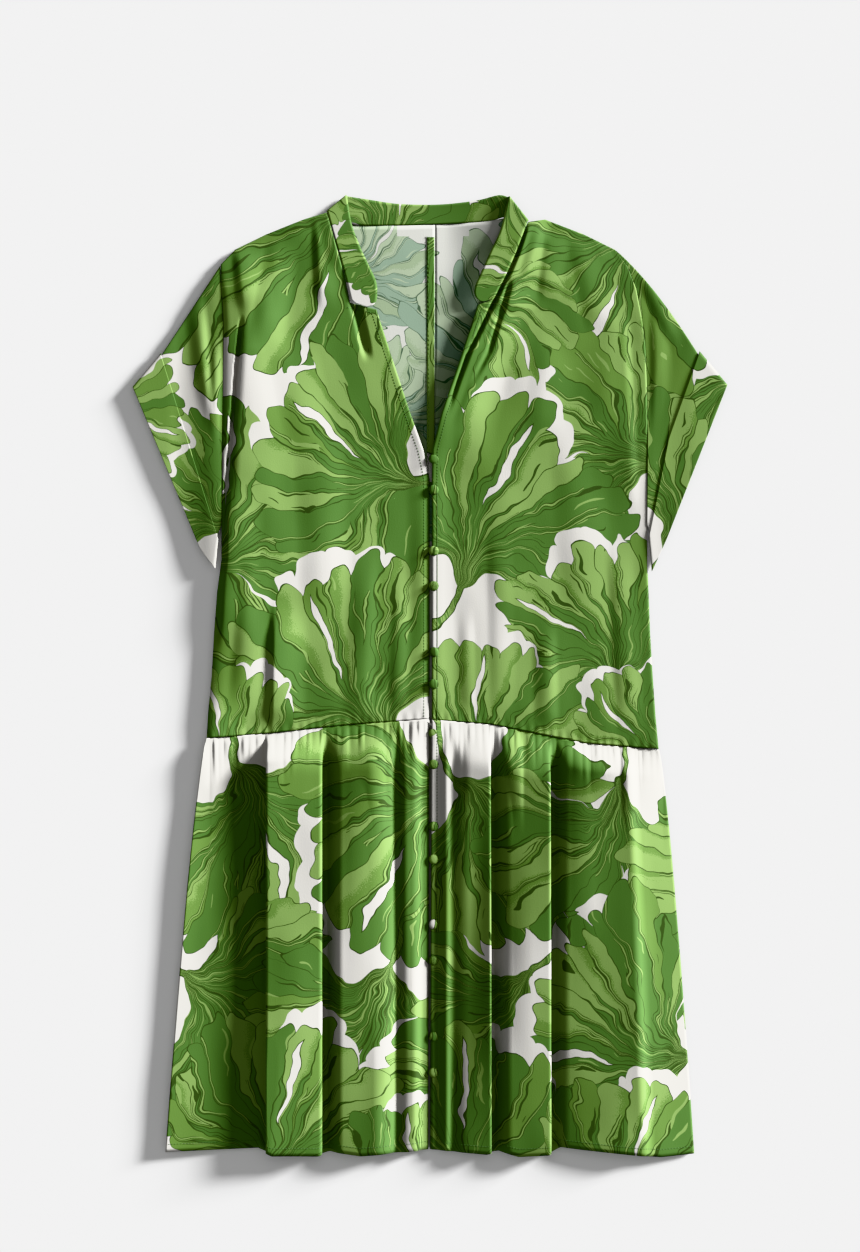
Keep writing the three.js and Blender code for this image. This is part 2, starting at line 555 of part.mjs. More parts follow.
function betweenRows(a, b, t) {
  return Object.fromEntries(Object.keys(a).map((key) => [key, lerp(a[key], b[key], t)]));
}

function bandRun(rows, out) {
  const still = point(0, 0, 0);
  return rows.slice(1).flatMap((row, i) => (
    Array.from({ length: BAND_STEPS }, (_, k) => (
      bandSection(betweenRows(rows[i], row, k / BAND_STEPS), out, still)))
  )).concat([bandSection(rows.at(-1), out, still)]);
}

// The half turn where the band folds over itself at the side of the neck
function bandTurn(row, upwards) {
  const away = point(row.seamY - row.freeY, row.freeX - row.seamX, 0).normalize();
  away.multiplyScalar(Math.sign(away.y));
  return Array.from({ length: BAND_TURN_STEPS - 1 }, (_, i) => {
    const swing = Math.PI * ((i + 1) / BAND_TURN_STEPS - 0.5) * (upwards ? 1 : -1);
    const radial = away.clone().multiplyScalar(Math.cos(swing)).setZ(Math.sin(swing));
    const middle = { ...row, z: BAND_LOW + BAND_TURN };
    return bandSection(middle, radial.clone().negate(), radial.clone().multiplyScalar(BAND_TURN));
  });
}

function collarBand() {
  const up = point(0, 0, 1);
  const sections = [
    ...bandRun(COLLAR.frontLeft, up.clone().negate()),
    ...bandTurn(COLLAR.back[0], false),
    ...bandRun(COLLAR.back, up),
    ...bandTurn(COLLAR.back.at(-1), true),
    ...bandRun(COLLAR.frontRight, up.clone().negate()),
  ];
  const ring = sections[0].length;
  const index = [];
  for (let i = 0; i < sections.length - 1; i += 1) {
    for (let j = 0; j < ring; j += 1) {
      const [a, b] = [i * ring + j, i * ring + ((j + 1) % ring)];
      index.push(a, b, b + ring, a, b + ring, a + ring);
    }
  }
  const last = (sections.length - 1) * ring;
  for (let j = 0; j < BAND_ACROSS; j += 1) {
    const [a, b, c, d] = [j, j + 1, ring - 2 - j, ring - 1 - j];
    index.push(a, d, c, a, c, b);
    index.push(last + a, last + b, last + c, last + a, last + c, last + d);
  }
  return geometryOf(sections.flat().flatMap((p) => p.toArray()), index);
}

function buttonDome() {
  const { radius, height, sides } = BUTTON;
  const profile = BUTTON_PROFILE.map(([r, h]) => new THREE.Vector2(r * radius, h * height));
  const dome = new THREE.LatheGeometry(profile, sides);
  return dome.rotateX(Math.PI / 2);
}

const CLOTH_COLOR = 0x6e9a42;
const WRONG_SIDE_COLOR = 0x8ba488;
const dress = new THREE.Group();
function add(name, geometry, color) {
  const material = new THREE.MeshStandardMaterial({ color, roughness: 0.85, metalness: 0 });
  const mesh = new THREE.Mesh(geometry, material);
  mesh.name = name;
  dress.add(mesh);
  return mesh;
}

for (const side of ['right', 'left']) {
  add(`front_bodice_${side}`, bodiceFront(side), CLOTH_COLOR);
  add(`back_bodice_${side}`, bodiceBack(side), WRONG_SIDE_COLOR);
  add(`sleeve_${side}`, sleeve(side), CLOTH_COLOR);
  add(`cuff_${side}`, cuff(side), CLOTH_COLOR);
  add(`skirt_front_${side}`, skirtFront(side), CLOTH_COLOR);
}
add('skirt_back', skirtBack(), WRONG_SIDE_COLOR);
add('collar_band', collarBand(), CLOTH_COLOR);
BUTTON_LEVELS.forEach((y, i) => {
  const button = add(`button_${String(i + 1).padStart(2, '0')}`, buttonDome(), CLOTH_COLOR);
  button.position.set(BUTTON.x, y, FRONT_Z + FRONT_EDGE_RISE + GAP);
});

export default dress;
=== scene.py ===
import math
from functools import partial

import bmesh
import bpy
import numpy as np
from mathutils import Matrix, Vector
from mathutils.bvhtree import BVHTree


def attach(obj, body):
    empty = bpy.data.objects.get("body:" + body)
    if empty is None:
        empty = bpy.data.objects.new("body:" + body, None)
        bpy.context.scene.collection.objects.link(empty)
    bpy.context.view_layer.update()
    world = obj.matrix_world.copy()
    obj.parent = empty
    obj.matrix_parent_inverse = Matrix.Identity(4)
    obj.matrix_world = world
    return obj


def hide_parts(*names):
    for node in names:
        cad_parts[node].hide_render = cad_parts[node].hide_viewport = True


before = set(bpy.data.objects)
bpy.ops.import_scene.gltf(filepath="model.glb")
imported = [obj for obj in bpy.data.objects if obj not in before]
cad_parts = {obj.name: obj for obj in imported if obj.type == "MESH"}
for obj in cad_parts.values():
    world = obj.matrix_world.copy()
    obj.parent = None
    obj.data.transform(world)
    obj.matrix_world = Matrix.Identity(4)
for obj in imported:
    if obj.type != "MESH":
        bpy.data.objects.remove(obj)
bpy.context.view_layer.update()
millimetre = 0.001

# A tunic dress lying flat, front up. Lengths in the tables are millimetres, as a pattern cutter writes
# them: x to the wearer's left, y towards the neck, z up from the surface.
cloth = {
    "thickness": 0.7, "gap": 0.3, "frontZ": 2.7, "centreBackX": 4.5,
    "dip": 0.9,  # the most that a front sinks between its folds
}
# How far the dress stands off the surface at its side seams, and its neck edge off the back
fullness = {
    "sideRight": 8.0, "sideLeft": 2.0, "sideReachRight": 150, "sideReachLeft": 40,
    "sideReachWaist": 40, "sideWidens": 140,  # the right side's reach at the waist, and where it is full
    "backShare": 0.66, "backReach": 26,
    "shoulder": 440, "shoulderReach": 60,  # a side lies down again at the shoulder
    "neckRight": 3.8, "neckLeft": 8.2, "neckFrom": 196, "neckRise": 70,
    "neckReachRight": 110, "neckReachLeft": 62,
    "neckEase": 0.35, "neckEaseFrom": 425, "neckEaseReach": 40,
}
# The left front's edge lies on the right front's, below the point of the V
lap = {
    "edge": 1, "over": 1.1, "overReach": 16, "under": 0.9, "underReach": 7, "top": 240, "topReach": 30,
    "bandRise": 1.0, "bandWidth": 9, "bandReach": 16,  # the buttoned edges stand up a little
}
waistLine = [
    (-224, -62), (-160, -57), (-83, -48.5), (-5, -43), (60, -48), (115, -59), (155, -67), (230, -73.5),
]
hemLine = [
    (-266, -475), (-172, -471), (-158, -477.5), (-112, -478), (-100, -474), (-70, -478), (0, -472.5),
    (56, -476.5), (68, -473.5), (88, -479), (118, -477), (130, -470), (230, -480), (264, -477),
]
shoulderLine = [
    (-209.5, 411), (-195, 426), (-164.5, 441), (-126.5, 456), (-103.5, 463), (-78.5, 451), (-33.5, 450),
    (15.5, 451.4), (57.5, 454), (76, 457.7), (97.2, 453), (114.5, 456), (153.5, 441), (184.5, 426),
]


def levelOf(line, x):
    return np.interp(x, [p[0] for p in line], [p[1] for p in line])


def smooth(t):
    t = np.clip(t, 0, 1)
    return t * t * (3 - 2 * t)


def ramp(value, start, reach):
    return smooth((value - start) / reach)


def mix(a, b, t):
    return a + (b - a) * t


def runOf(line):
    return np.concatenate([[0], np.cumsum(np.hypot(*np.diff(line, axis=0).T))])


def sideLift(x):
    return np.where(x < 0, fullness["sideRight"], fullness["sideLeft"])


def neckLift(x, y):
    # the neck edge stands up from the point of the V, less so again on the shoulder
    up = ramp(y, fullness["neckFrom"], fullness["neckRise"])
    ease = 1 - fullness["neckEase"] * ramp(y, fullness["neckEaseFrom"], fullness["neckEaseReach"])
    return np.where(x < 0, fullness["neckRight"], fullness["neckLeft"]) * up * ease


def belowShoulder(y, top=fullness["shoulder"]):
    return smooth((top - y) / fullness["shoulderReach"])


def put(name, data):
    obj = bpy.data.objects.new(name, data)
    bpy.context.collection.objects.link(obj)
    return obj


def faceGrid(rows, columns, start, flip, closed=False):
    # quads of one side of a grid, columns running round when closed
    i, j = np.meshgrid(np.arange(rows - 1), np.arange(columns if closed else columns - 1), indexing="ij")
    a = start + i * columns + j
    b = start + i * columns + (j + 1) % columns
    quads = np.stack([a, a + columns, b + columns, b], axis=-1).reshape(-1, 4)
    return quads[:, ::-1] if flip else quads


def makeMesh(name, points, faces, uv, material, rim=0):
    # the last faces, as many as rim says, are the cut edges and stay crisp
    mesh = bpy.data.meshes.new(name)
    mesh.from_pydata((points * millimetre).tolist(), [], faces)
    layer = mesh.uv_layers.new(name="clothMap")
    loops = np.empty(len(mesh.loops), dtype=np.int32)
    mesh.loops.foreach_get("vertex_index", loops)
    layer.data.foreach_set("uv", (uv[loops] * millimetre).astype(np.float32).ravel())
    smoothFaces = np.arange(len(mesh.polygons)) < len(mesh.polygons) - rim
    mesh.polygons.foreach_set("use_smooth", smoothFaces)
    mesh.materials.append(material)
    return put(name, mesh)


def gridNormals(grid, closed=False):
    if closed:
        across = np.roll(grid, -1, axis=1) - np.roll(grid, 1, axis=1)
    else:
        across = np.gradient(grid, axis=1)
    normals = np.cross(np.gradient(grid, axis=0), across)
    return normals / np.maximum(np.linalg.norm(normals, axis=-1, keepdims=True), 1e-9)


def sheetPiece(name, upper, uv, material, thickness=None):
    # a closed thin shell under a grid of upper points
    rows, columns = upper.shape[:2]
    normals = gridNormals(upper)
    if normals[..., 2].mean() < 0:
        normals = -normals
    lower = upper - normals * (thickness or cloth["thickness"])
    points = np.concatenate([upper.reshape(-1, 3), lower.reshape(-1, 3)])
    count = rows * columns
    top, left = np.arange(columns), np.arange(rows) * columns
    bottom, right = top + (rows - 1) * columns, left + columns - 1
    rims = []
    for line, flip in ((top, False), (bottom, True), (left, True), (right, False)):
        quad = np.stack([line[:-1], line[1:], line[1:] + count, line[:-1] + count], axis=-1)
        rims.append(quad[:, ::-1] if flip else quad)
    quads = np.concatenate([faceGrid(rows, columns, 0, False), faceGrid(rows, columns, count, True), *rims])
    first = upper[1, 0] - upper[0, 0]
    second = upper[0, 1] - upper[0, 0]
    if np.cross(first, second)[2] < 0:
        quads = quads[:, ::-1]
    uvs = np.concatenate([uv.reshape(-1, 2)] * 2)
    return makeMesh(name, points, quads.tolist(), uvs, material, sum(len(r) for r in rims))


def tubePiece(name, outer, inner, uv, material):
    # a closed wall between two sets of rings
    rows, ring = outer.shape[:2]
    count = rows * ring
    points = np.concatenate([outer.reshape(-1, 3), inner.reshape(-1, 3)])
    walls = [faceGrid(rows, ring, 0, False, True), faceGrid(rows, ring, count, True, True)]
    j = np.arange(ring)
    k = (j + 1) % ring
    last = (rows - 1) * ring
    walls.append(np.stack([j, k, k + count, j + count], axis=-1))
    walls.append(np.stack([k + last, j + last, j + last + count, k + last + count], axis=-1))
    quads = np.concatenate(walls)
    centre = outer.mean(axis=1, keepdims=True)
    outward = gridNormals(outer, True) * (outer - centre)
    if outward.sum() < 0:
        quads = quads[:, ::-1]
    return makeMesh(name, points, quads.tolist(), np.concatenate([uv.reshape(-1, 2)] * 2), material)


# Shares of their length over which folds and creases run out, and by which folds run past their ends
foldEnds = {"past": 0.15, "reach": 0.4, "creaseStart": 0.12, "creaseEnd": 0.3}


def foldRise(folds, x, y):
    # rounded folds, each from a start to an end, that run out at both
    rise = np.zeros_like(x)
    for x0, y0, x1, y1, height, left, right in folds:
        dx, dy = x1 - x0, y1 - y0
        length = math.hypot(dx, dy)
        t = ((x - x0) * dx + (y - y0) * dy) / length**2
        side = ((x - x0) * -dy + (y - y0) * dx) / length
        across = np.abs(side) / np.where(side > 0, right, left)
        ends = smooth((t + foldEnds["past"]) / foldEnds["reach"])
        ends *= smooth((1 + foldEnds["past"] - t) / foldEnds["reach"])
        rise += np.where(across < 1, height * (1 - across**2) ** 2 * ends, 0)
    return rise


def creaseRise(lines, x, y):
    # narrow ridges, or grooves where the height is negative, that follow a line of points
    rise = np.zeros_like(x)
    for points, height, left, right in lines:
        run = runOf(np.array(points, dtype=float))
        nearest, across, along = np.full_like(x, 1e9), np.ones_like(x), np.zeros_like(x)
        for (x0, y0), (x1, y1), start in zip(points[:-1], points[1:], run[:-1]):
            dx, dy = x1 - x0, y1 - y0
            t = np.clip(((x - x0) * dx + (y - y0) * dy) / (dx**2 + dy**2), 0, 1)
            distance = np.hypot(x - x0 - t * dx, y - y0 - t * dy)
            side = (x - x0) * -dy + (y - y0) * dx
            closer = distance < nearest
            nearest = np.where(closer, distance, nearest)
            across = np.where(closer, distance / np.where(side > 0, right, left), across)
            along = np.where(closer, (start + t * math.hypot(dx, dy)) / run[-1], along)
        ends = smooth(along / foldEnds["creaseStart"]) * smooth((1 - along) / foldEnds["creaseEnd"])
        rise += np.where(across < 1, height * (1 - across**2) ** 2 * ends, 0)
    return rise


# Slow waves that are left in cloth smoothed by hand: their lengths in mm, of which the middle one counts
# as full, how much they follow the length of the dress, and by how much their sum is brought down
handling = {"seed": 11, "count": 14, "lengths": (28, 95), "lengthwise": 0.6, "middle": 60, "bringDown": 5}
rng = np.random.default_rng(handling["seed"])
waves = [(rng.uniform(0, math.pi), rng.uniform(*handling["lengths"]), rng.uniform(0, 6.3))
         for _ in range(handling["count"])]


def softWaves(x, y, height):
    total = np.zeros_like(x)
    for turn, length, phase in waves:
        along = x * math.cos(turn) + y * math.sin(turn) * handling["lengthwise"]
        total += np.sin(along * 2 * math.pi / length + phase) * length / handling["middle"]
    return total * height / handling["bringDown"]


def linearColor(hexCode):
    channels = [int(hexCode[i:i + 2], 16) / 255 for i in (1, 3, 5)]
    return [c / 12.92 if c <= 0.04045 else ((c + 0.055) / 1.055) ** 2.4 for c in channels] + [1.0]


def addNode(tree, kind, settings=None, links=None, values=None):
    # one node with its settings, the outputs that feed it and its fixed values
    node = tree.nodes.new(kind)
    for key, value in (settings or {}).items():
        setattr(node, key, value)
    for key, value in (values or {}).items():
        node.inputs[key].default_value = value
    for key, output in (links or {}).items():
        tree.links.new(output, node.inputs[key])
    return node


def startMaterial(name):
    material = bpy.data.materials.new(name)
    material.use_nodes = True
    return material, material.node_tree, material.node_tree.nodes["Principled BSDF"].inputs


def maths(tree, operation, *inputs):
    # a Math node, whose inputs are numbers or outputs
    node = addNode(tree, "ShaderNodeMath", {"operation": operation})
    for i, value in enumerate(inputs):
        if isinstance(value, (int, float)):
            node.inputs[i].default_value = value
        else:
            tree.links.new(value, node.inputs[i])
    return node.outputs[0]


def mixColor(tree, factor, under, over):
    # a colour over another, each an output, a hex code or a linear colour
    node = addNode(tree, "ShaderNodeMix", {"data_type": "RGBA"}, {"Factor": factor})
    for socket, value in ((6, under), (7, over)):
        if isinstance(value, (str, list)):
            node.inputs[socket].default_value = linearColor(value) if isinstance(value, str) else value
        else:
            tree.links.new(value, node.inputs[socket])
    return node.outputs[2]


def between(tree, value, low, high, lowResult=0.0, highResult=1.0):
    # a soft step from one result to the other
    node = addNode(tree, "ShaderNodeMapRange", {"interpolation_type": "SMOOTHSTEP"}, {"Value": value})
    for name, bound in (("From Min", low), ("From Max", high), ("To Min", lowResult), ("To Max", highResult)):
        if isinstance(bound, (int, float)):
            node.inputs[name].default_value = bound
        else:
            tree.links.new(bound, node.inputs[name])
    return node.outputs[0]


def cells(tree, place, feature):
    # wedges of uneven width along the rim of a leaf
    return addNode(tree, "ShaderNodeTexVoronoi", {"voronoi_dimensions": "1D", "feature": feature},
                   {"W": place}, {"Scale": 1.0, "Randomness": leafShape["unevenWedges"]}).outputs


def noise(tree, dimensions, place, scale, detail=0.0):
    socket = "W" if dimensions == "1D" else "Vector"
    return addNode(tree, "ShaderNodeTexNoise", {"noise_dimensions": dimensions}, {socket: place},
                   {"Scale": scale, "Detail": detail}).outputs


# Lengths are shares of a leaf's radius, except where they say mm
leafShape = {
    "wedgesPerRadian": 6.3,  # a wedge ends in one scallop of the rim
    "unevenWedges": 0.85,
    "scallop": 0.075,  # depth of the scallops, and how pointed the notches between them are
    "notch": 2.2,
    "unevenRim": 0.34,  # the slower ups and downs of the rim, and how many go to a wedge
    "unevenPitch": 0.42,
    "taper": 0.75,  # radians over which a side wedge runs out
    "roundness": 0.45,
    "stem": 0.05,
    "splay": (0.34, 0.62),  # how narrow the veins leave the stem, and where they have spread out
    "clearing": (0.65, 1.5),  # bare cloth is left around parts of a leaf, where its noise is higher
    "clearingScale": 1.5,
    "stalkWidth": 0.02,
    "stalkLength": 0.5,
    "stalkBend": 0.8,
    "drift": 30,  # mm that a leaf's form strays over the cloth, and how quickly
    "driftScale": 0.02,
    "seedStep": 20.0,  # keeps the wedges of each leaf apart from the next leaf's
    "seedShift": (0.37, 1.3),
}
# A bare lens between two wedges: from and to along the radius, its fullness, its place and its drawn rim
lens = {"from": 0.42, "to": 0.9, "fullness": 3.4, "place": 1.4, "rim": 0.035}


def makeLeafGroup():
    # one fan leaf over what lies under it: the vector that runs through holds the place along the
    # rim, the distance from the stem and the distance inside the rim of the leaf on top
    tree = bpy.data.node_groups.new("fanLeaf", "ShaderNodeTree")
    calc = partial(maths, tree)
    for name, kind in (("Cloth", "Vector"), ("Under", "Vector"), ("Base", "Vector"), ("Aim", "Vector"),
                       ("Size", "Vector"), ("Spread", "Float"), ("Seed", "Float"), ("Curl", "Float")):
        tree.interface.new_socket(name, in_out="INPUT", socket_type="NodeSocket" + kind)
    tree.interface.new_socket("Over", in_out="OUTPUT", socket_type="NodeSocketVector")
    inlet = addNode(tree, "NodeGroupInput").outputs
    outlet = addNode(tree, "NodeGroupOutput")
    local = addNode(tree, "ShaderNodeMapping", {"vector_type": "TEXTURE"}, {
        "Vector": inlet["Cloth"], "Location": inlet["Base"], "Rotation": inlet["Aim"],
        "Scale": inlet["Size"]}).outputs[0]
    parts = addNode(tree, "ShaderNodeSeparateXYZ", links={0: local}).outputs
    radius = addNode(tree, "ShaderNodeVectorMath", {"operation": "LENGTH"}, {0: local}).outputs["Value"]

    # the fan of wedges, its scalloped rim and its rounded sides
    angle = calc("ARCTAN2", parts["Y"], calc("ADD", parts["X"], leafShape["stem"]))
    splay = between(tree, radius, 0.0, leafShape["splay"][1], leafShape["splay"][0], 1.0)
    bent = calc("MULTIPLY_ADD", radius, inlet["Curl"], calc("DIVIDE", angle, splay))
    place = calc("MULTIPLY_ADD", bent, leafShape["wedgesPerRadian"], inlet["Seed"])
    edge = cells(tree, place, "DISTANCE_TO_EDGE")["Distance"]
    dip = calc("SUBTRACT", 1.0, calc("MINIMUM", calc("MULTIPLY", edge, leafShape["notch"]), 1.0))
    scallop = calc("MULTIPLY", calc("MULTIPLY", dip, dip), -leafShape["scallop"])
    slow = noise(tree, "1D", place, leafShape["unevenPitch"], 1.0)[0]
    rise = calc("MULTIPLY_ADD", calc("SUBTRACT", slow, 0.5), leafShape["unevenRim"], 1.0)
    rim = calc("ADD", rise, scallop)
    fromSide = calc("SUBTRACT", inlet["Spread"], calc("ABSOLUTE", bent))
    reach = calc("DIVIDE", fromSide, leafShape["taper"])
    ends = calc("POWER", calc("MINIMUM", calc("MAXIMUM", reach, 0.0), 1.0), leafShape["roundness"])
    fan = calc("SUBTRACT", calc("MULTIPLY", rim, ends), radius)

    # the bowed stalk behind the stem
    bow = calc("MULTIPLY", calc("MULTIPLY", parts["X"], parts["X"]), leafShape["stalkBend"])
    beside = calc("ABSOLUTE", calc("SUBTRACT", parts["Y"], bow))
    behind = calc("MINIMUM", calc("ADD", parts["X"], leafShape["stalkLength"]),
                  calc("MULTIPLY", parts["X"], -1.0))
    stalk = calc("MINIMUM", calc("SUBTRACT", leafShape["stalkWidth"], beside), behind)
    inside = calc("MAXIMUM", fan, stalk)

    # bare cloth beside it, and what lies under it farther out
    found = addNode(tree, "ShaderNodeCombineXYZ", links={"X": place, "Y": radius, "Z": inside})
    around = noise(tree, "3D", local, leafShape["clearingScale"])[0]
    low, width = leafShape["clearing"]
    bare = calc("MULTIPLY", calc("MINIMUM", calc("SUBTRACT", low, around), 0.0), width)
    over = addNode(tree, "ShaderNodeMix", {"data_type": "VECTOR"}, {
        "Factor": calc("GREATER_THAN", inside, bare), 4: inlet["Under"], 5: found.outputs[0]})
    tree.links.new(over.outputs[1], outlet.inputs["Over"])
    return tree


leafGroup = makeLeafGroup()
# Screen-print colours of the two sides of the cloth
rightSide = {
    "ground": "#e2e0da", "mid": "#577d3e", "light": "#8aaa62", "olive": "#6d9049", "line": "#385021",
}
wrongSide = {
    "ground": "#dedfd8", "mid": "#9db59f", "light": "#b9caad", "olive": "#a9bd9b", "line": "#587058",
}
drawing = {
    "outline": 0.006,  # share of a leaf's radius, about 1.2 mm
    "lineWidth": 0.021,  # of the drawn lines, as a share of a wedge at the rim
    "narrowest": 0.1,  # share of the radius within which lines grow no wider in their wedge
    # how far the drawn lines stray sideways, and how quickly along the rim and outwards
    "wobbles": [(0.5, 0.55, 2.6), (0.11, 1.7, 11.0)],
    "straighten": 5.0,  # the power by which they run straight again at the rim
    "lightShare": 0.44,  # shares of the wedges that are light, and olive
    "oliveShare": 0.13,
    "wedgeStart": (0.06, 0.42),
    "wedgeOpens": 0.5,
    "shading": (-0.02, 0.46, 0.12, 0.74),  # across a light wedge from and to, and its share of olive specks
    "echo": (0.07, 0.2),  # how far a strand runs beside the edge of a wedge
    "echoRun": (0.45, 0.9),  # how far out it runs at least, and how much more by chance
    "strand": 2.1,  # line widths of the dark strand, of a light wedge's side and between plain wedges
    "side": 0.8,
    "parting": 0.6,
    "veins": (2.6, 2.0),  # how quickly the fine veins change along the rim and outwards
    "darkVeins": 0.26,
    "lightVeins": 0.76,
    "stemShare": 0.4,  # fine veins gather within this share of the leaf, by so much
    "stemVeins": 0.2,
    "grain": 1.1,  # mm, the speckle of the screen
}
# Yarn drawn coarse enough to show: its pitch and depth in mm, its unevenness and its sheen
crepe = {
    "pitch": 1.3, "unevenness": 0.7, "bump": 0.12, "depth": 0.4,
    "roughness": 0.78, "sheen": 0.1, "sheenRoughness": 0.4, "gloss": 0.25,
}


def drawLeaf(tree, top, speckle, colors):
    # plain, light and olive wedges with strands beside their edges and veins that meet at the stem
    calc = partial(maths, tree)
    rimShare = calc("DIVIDE", top["Y"], calc("ADD", top["Y"], calc("MAXIMUM", top["Z"], 0.0)))
    calm = calc("SUBTRACT", 1.0, calc("POWER", rimShare, drawing["straighten"]))
    place = top["X"]
    for reach, along, out in drawing["wobbles"]:
        point = addNode(tree, "ShaderNodeCombineXYZ", links={
            "X": calc("MULTIPLY", top["X"], along), "Y": calc("MULTIPLY", top["Y"], out)}).outputs[0]
        stray = calc("SUBTRACT", noise(tree, "2D", point, 1.0)[0], 0.5)
        place = calc("ADD", place, calc("MULTIPLY", stray, calc("MULTIPLY", calm, reach)))
    width = calc("DIVIDE", drawing["lineWidth"], calc("MAXIMUM", top["Y"], drawing["narrowest"]))

    # light and olive wedges, which open from different distances
    wedge = cells(tree, place, "F1")
    edge = cells(tree, place, "DISTANCE_TO_EDGE")["Distance"]
    chance = addNode(tree, "ShaderNodeSeparateXYZ", links={0: wedge["Color"]}).outputs
    side = calc("MULTIPLY", calc("SUBTRACT", place, wedge["W"]),
                calc("SIGN", calc("SUBTRACT", chance["Z"], 0.5)))
    first, last = drawing["wedgeStart"]
    starts = calc("MULTIPLY_ADD", chance["Y"], last - first, first)
    opened = between(tree, rimShare, starts, calc("ADD", starts, drawing["wedgeOpens"]))
    margin = calc("MULTIPLY_ADD", opened, -0.5, 0.5)
    within = calc("SUBTRACT", edge, margin)
    light = calc("LESS_THAN", chance["X"], drawing["lightShare"])
    olive = calc("LESS_THAN", chance["X"], drawing["lightShare"] + drawing["oliveShare"])
    dark = calc("LESS_THAN", speckle, between(tree, side, *drawing["shading"]))
    fill = mixColor(tree, dark, colors["light"], colors["olive"])
    fill = mixColor(tree, light, colors["olive"], fill)
    shown = calc("MULTIPLY", olive, calc("GREATER_THAN", within, 0.0))
    inked = mixColor(tree, shown, colors["mid"], fill)

    # a light strand with dark sides, beside one edge of a wedge
    near, far = drawing["echo"]
    shortest, more = drawing["echoRun"]
    beside = calc("MULTIPLY_ADD", chance["Y"], far - near, near)
    runs = calc("MULTIPLY_ADD", chance["Z"], more, shortest)
    band = calc("ABSOLUTE", calc("SUBTRACT", edge, calc("ADD", beside, margin)))
    echo = calc("MULTIPLY", calc("GREATER_THAN", side, 0.0), calc("LESS_THAN", rimShare, runs))
    doubled = calc("MULTIPLY", echo, calc("LESS_THAN", band, calc("MULTIPLY", width, drawing["strand"])))
    inked = mixColor(tree, doubled, inked, colors["line"])
    doubled = calc("MULTIPLY", echo, calc("LESS_THAN", band, width))
    inked = mixColor(tree, doubled, inked, colors["light"])
    lined = calc("LESS_THAN", calc("ABSOLUTE", within), calc("MULTIPLY", width, drawing["side"]))
    parting = calc("LESS_THAN", edge, calc("MULTIPLY", width, drawing["parting"]))
    lined = calc("MAXIMUM", calc("MULTIPLY", olive, lined), parting)
    inked = mixColor(tree, lined, inked, colors["line"])

    along, out = drawing["veins"]
    point = addNode(tree, "ShaderNodeCombineXYZ", links={
        "X": calc("MULTIPLY", place, along), "Y": calc("MULTIPLY", top["Y"], out)}).outputs[0]
    veins = noise(tree, "2D", point, 1.0, 1.0)[0]
    close = between(tree, rimShare, 0.0, drawing["stemShare"], drawing["stemVeins"], 0.0)
    lines = calc("LESS_THAN", veins, calc("ADD", close, drawing["darkVeins"]))
    inked = mixColor(tree, lines, inked, colors["line"])
    lights = calc("GREATER_THAN", veins, calc("SUBTRACT", drawing["lightVeins"], close))
    return mixColor(tree, lights, inked, colors["light"])


def drawLens(tree, top, inked, colors):
    calc = partial(maths, tree)
    halfStep = leafShape["seedStep"] / 2
    along = calc("WRAP", top["X"], halfStep, -halfStep)
    ends = calc("MULTIPLY", calc("SUBTRACT", top["Y"], lens["from"]), calc("SUBTRACT", lens["to"], top["Y"]))
    opened = calc("SUBTRACT", calc("MULTIPLY", ends, lens["fullness"]),
                  calc("ABSOLUTE", calc("SUBTRACT", along, lens["place"])))
    inked = mixColor(tree, calc("GREATER_THAN", opened, -lens["rim"]), inked, colors["line"])
    return mixColor(tree, calc("GREATER_THAN", opened, 0.0), inked, colors["ground"])


def outsideOf(tree, place, strip):
    # 1 wherever the cloth isn't part of a strip, so that the strip stays unprinted
    calc = partial(maths, tree)
    at = addNode(tree, "ShaderNodeSeparateXYZ", links={0: place}).outputs
    sides = [calc("MAXIMUM", calc("LESS_THAN", at[axis.upper()], strip[axis][0]),
                  calc("GREATER_THAN", at[axis.upper()], strip[axis][1])) for axis in "xy"]
    return calc("MAXIMUM", *sides)


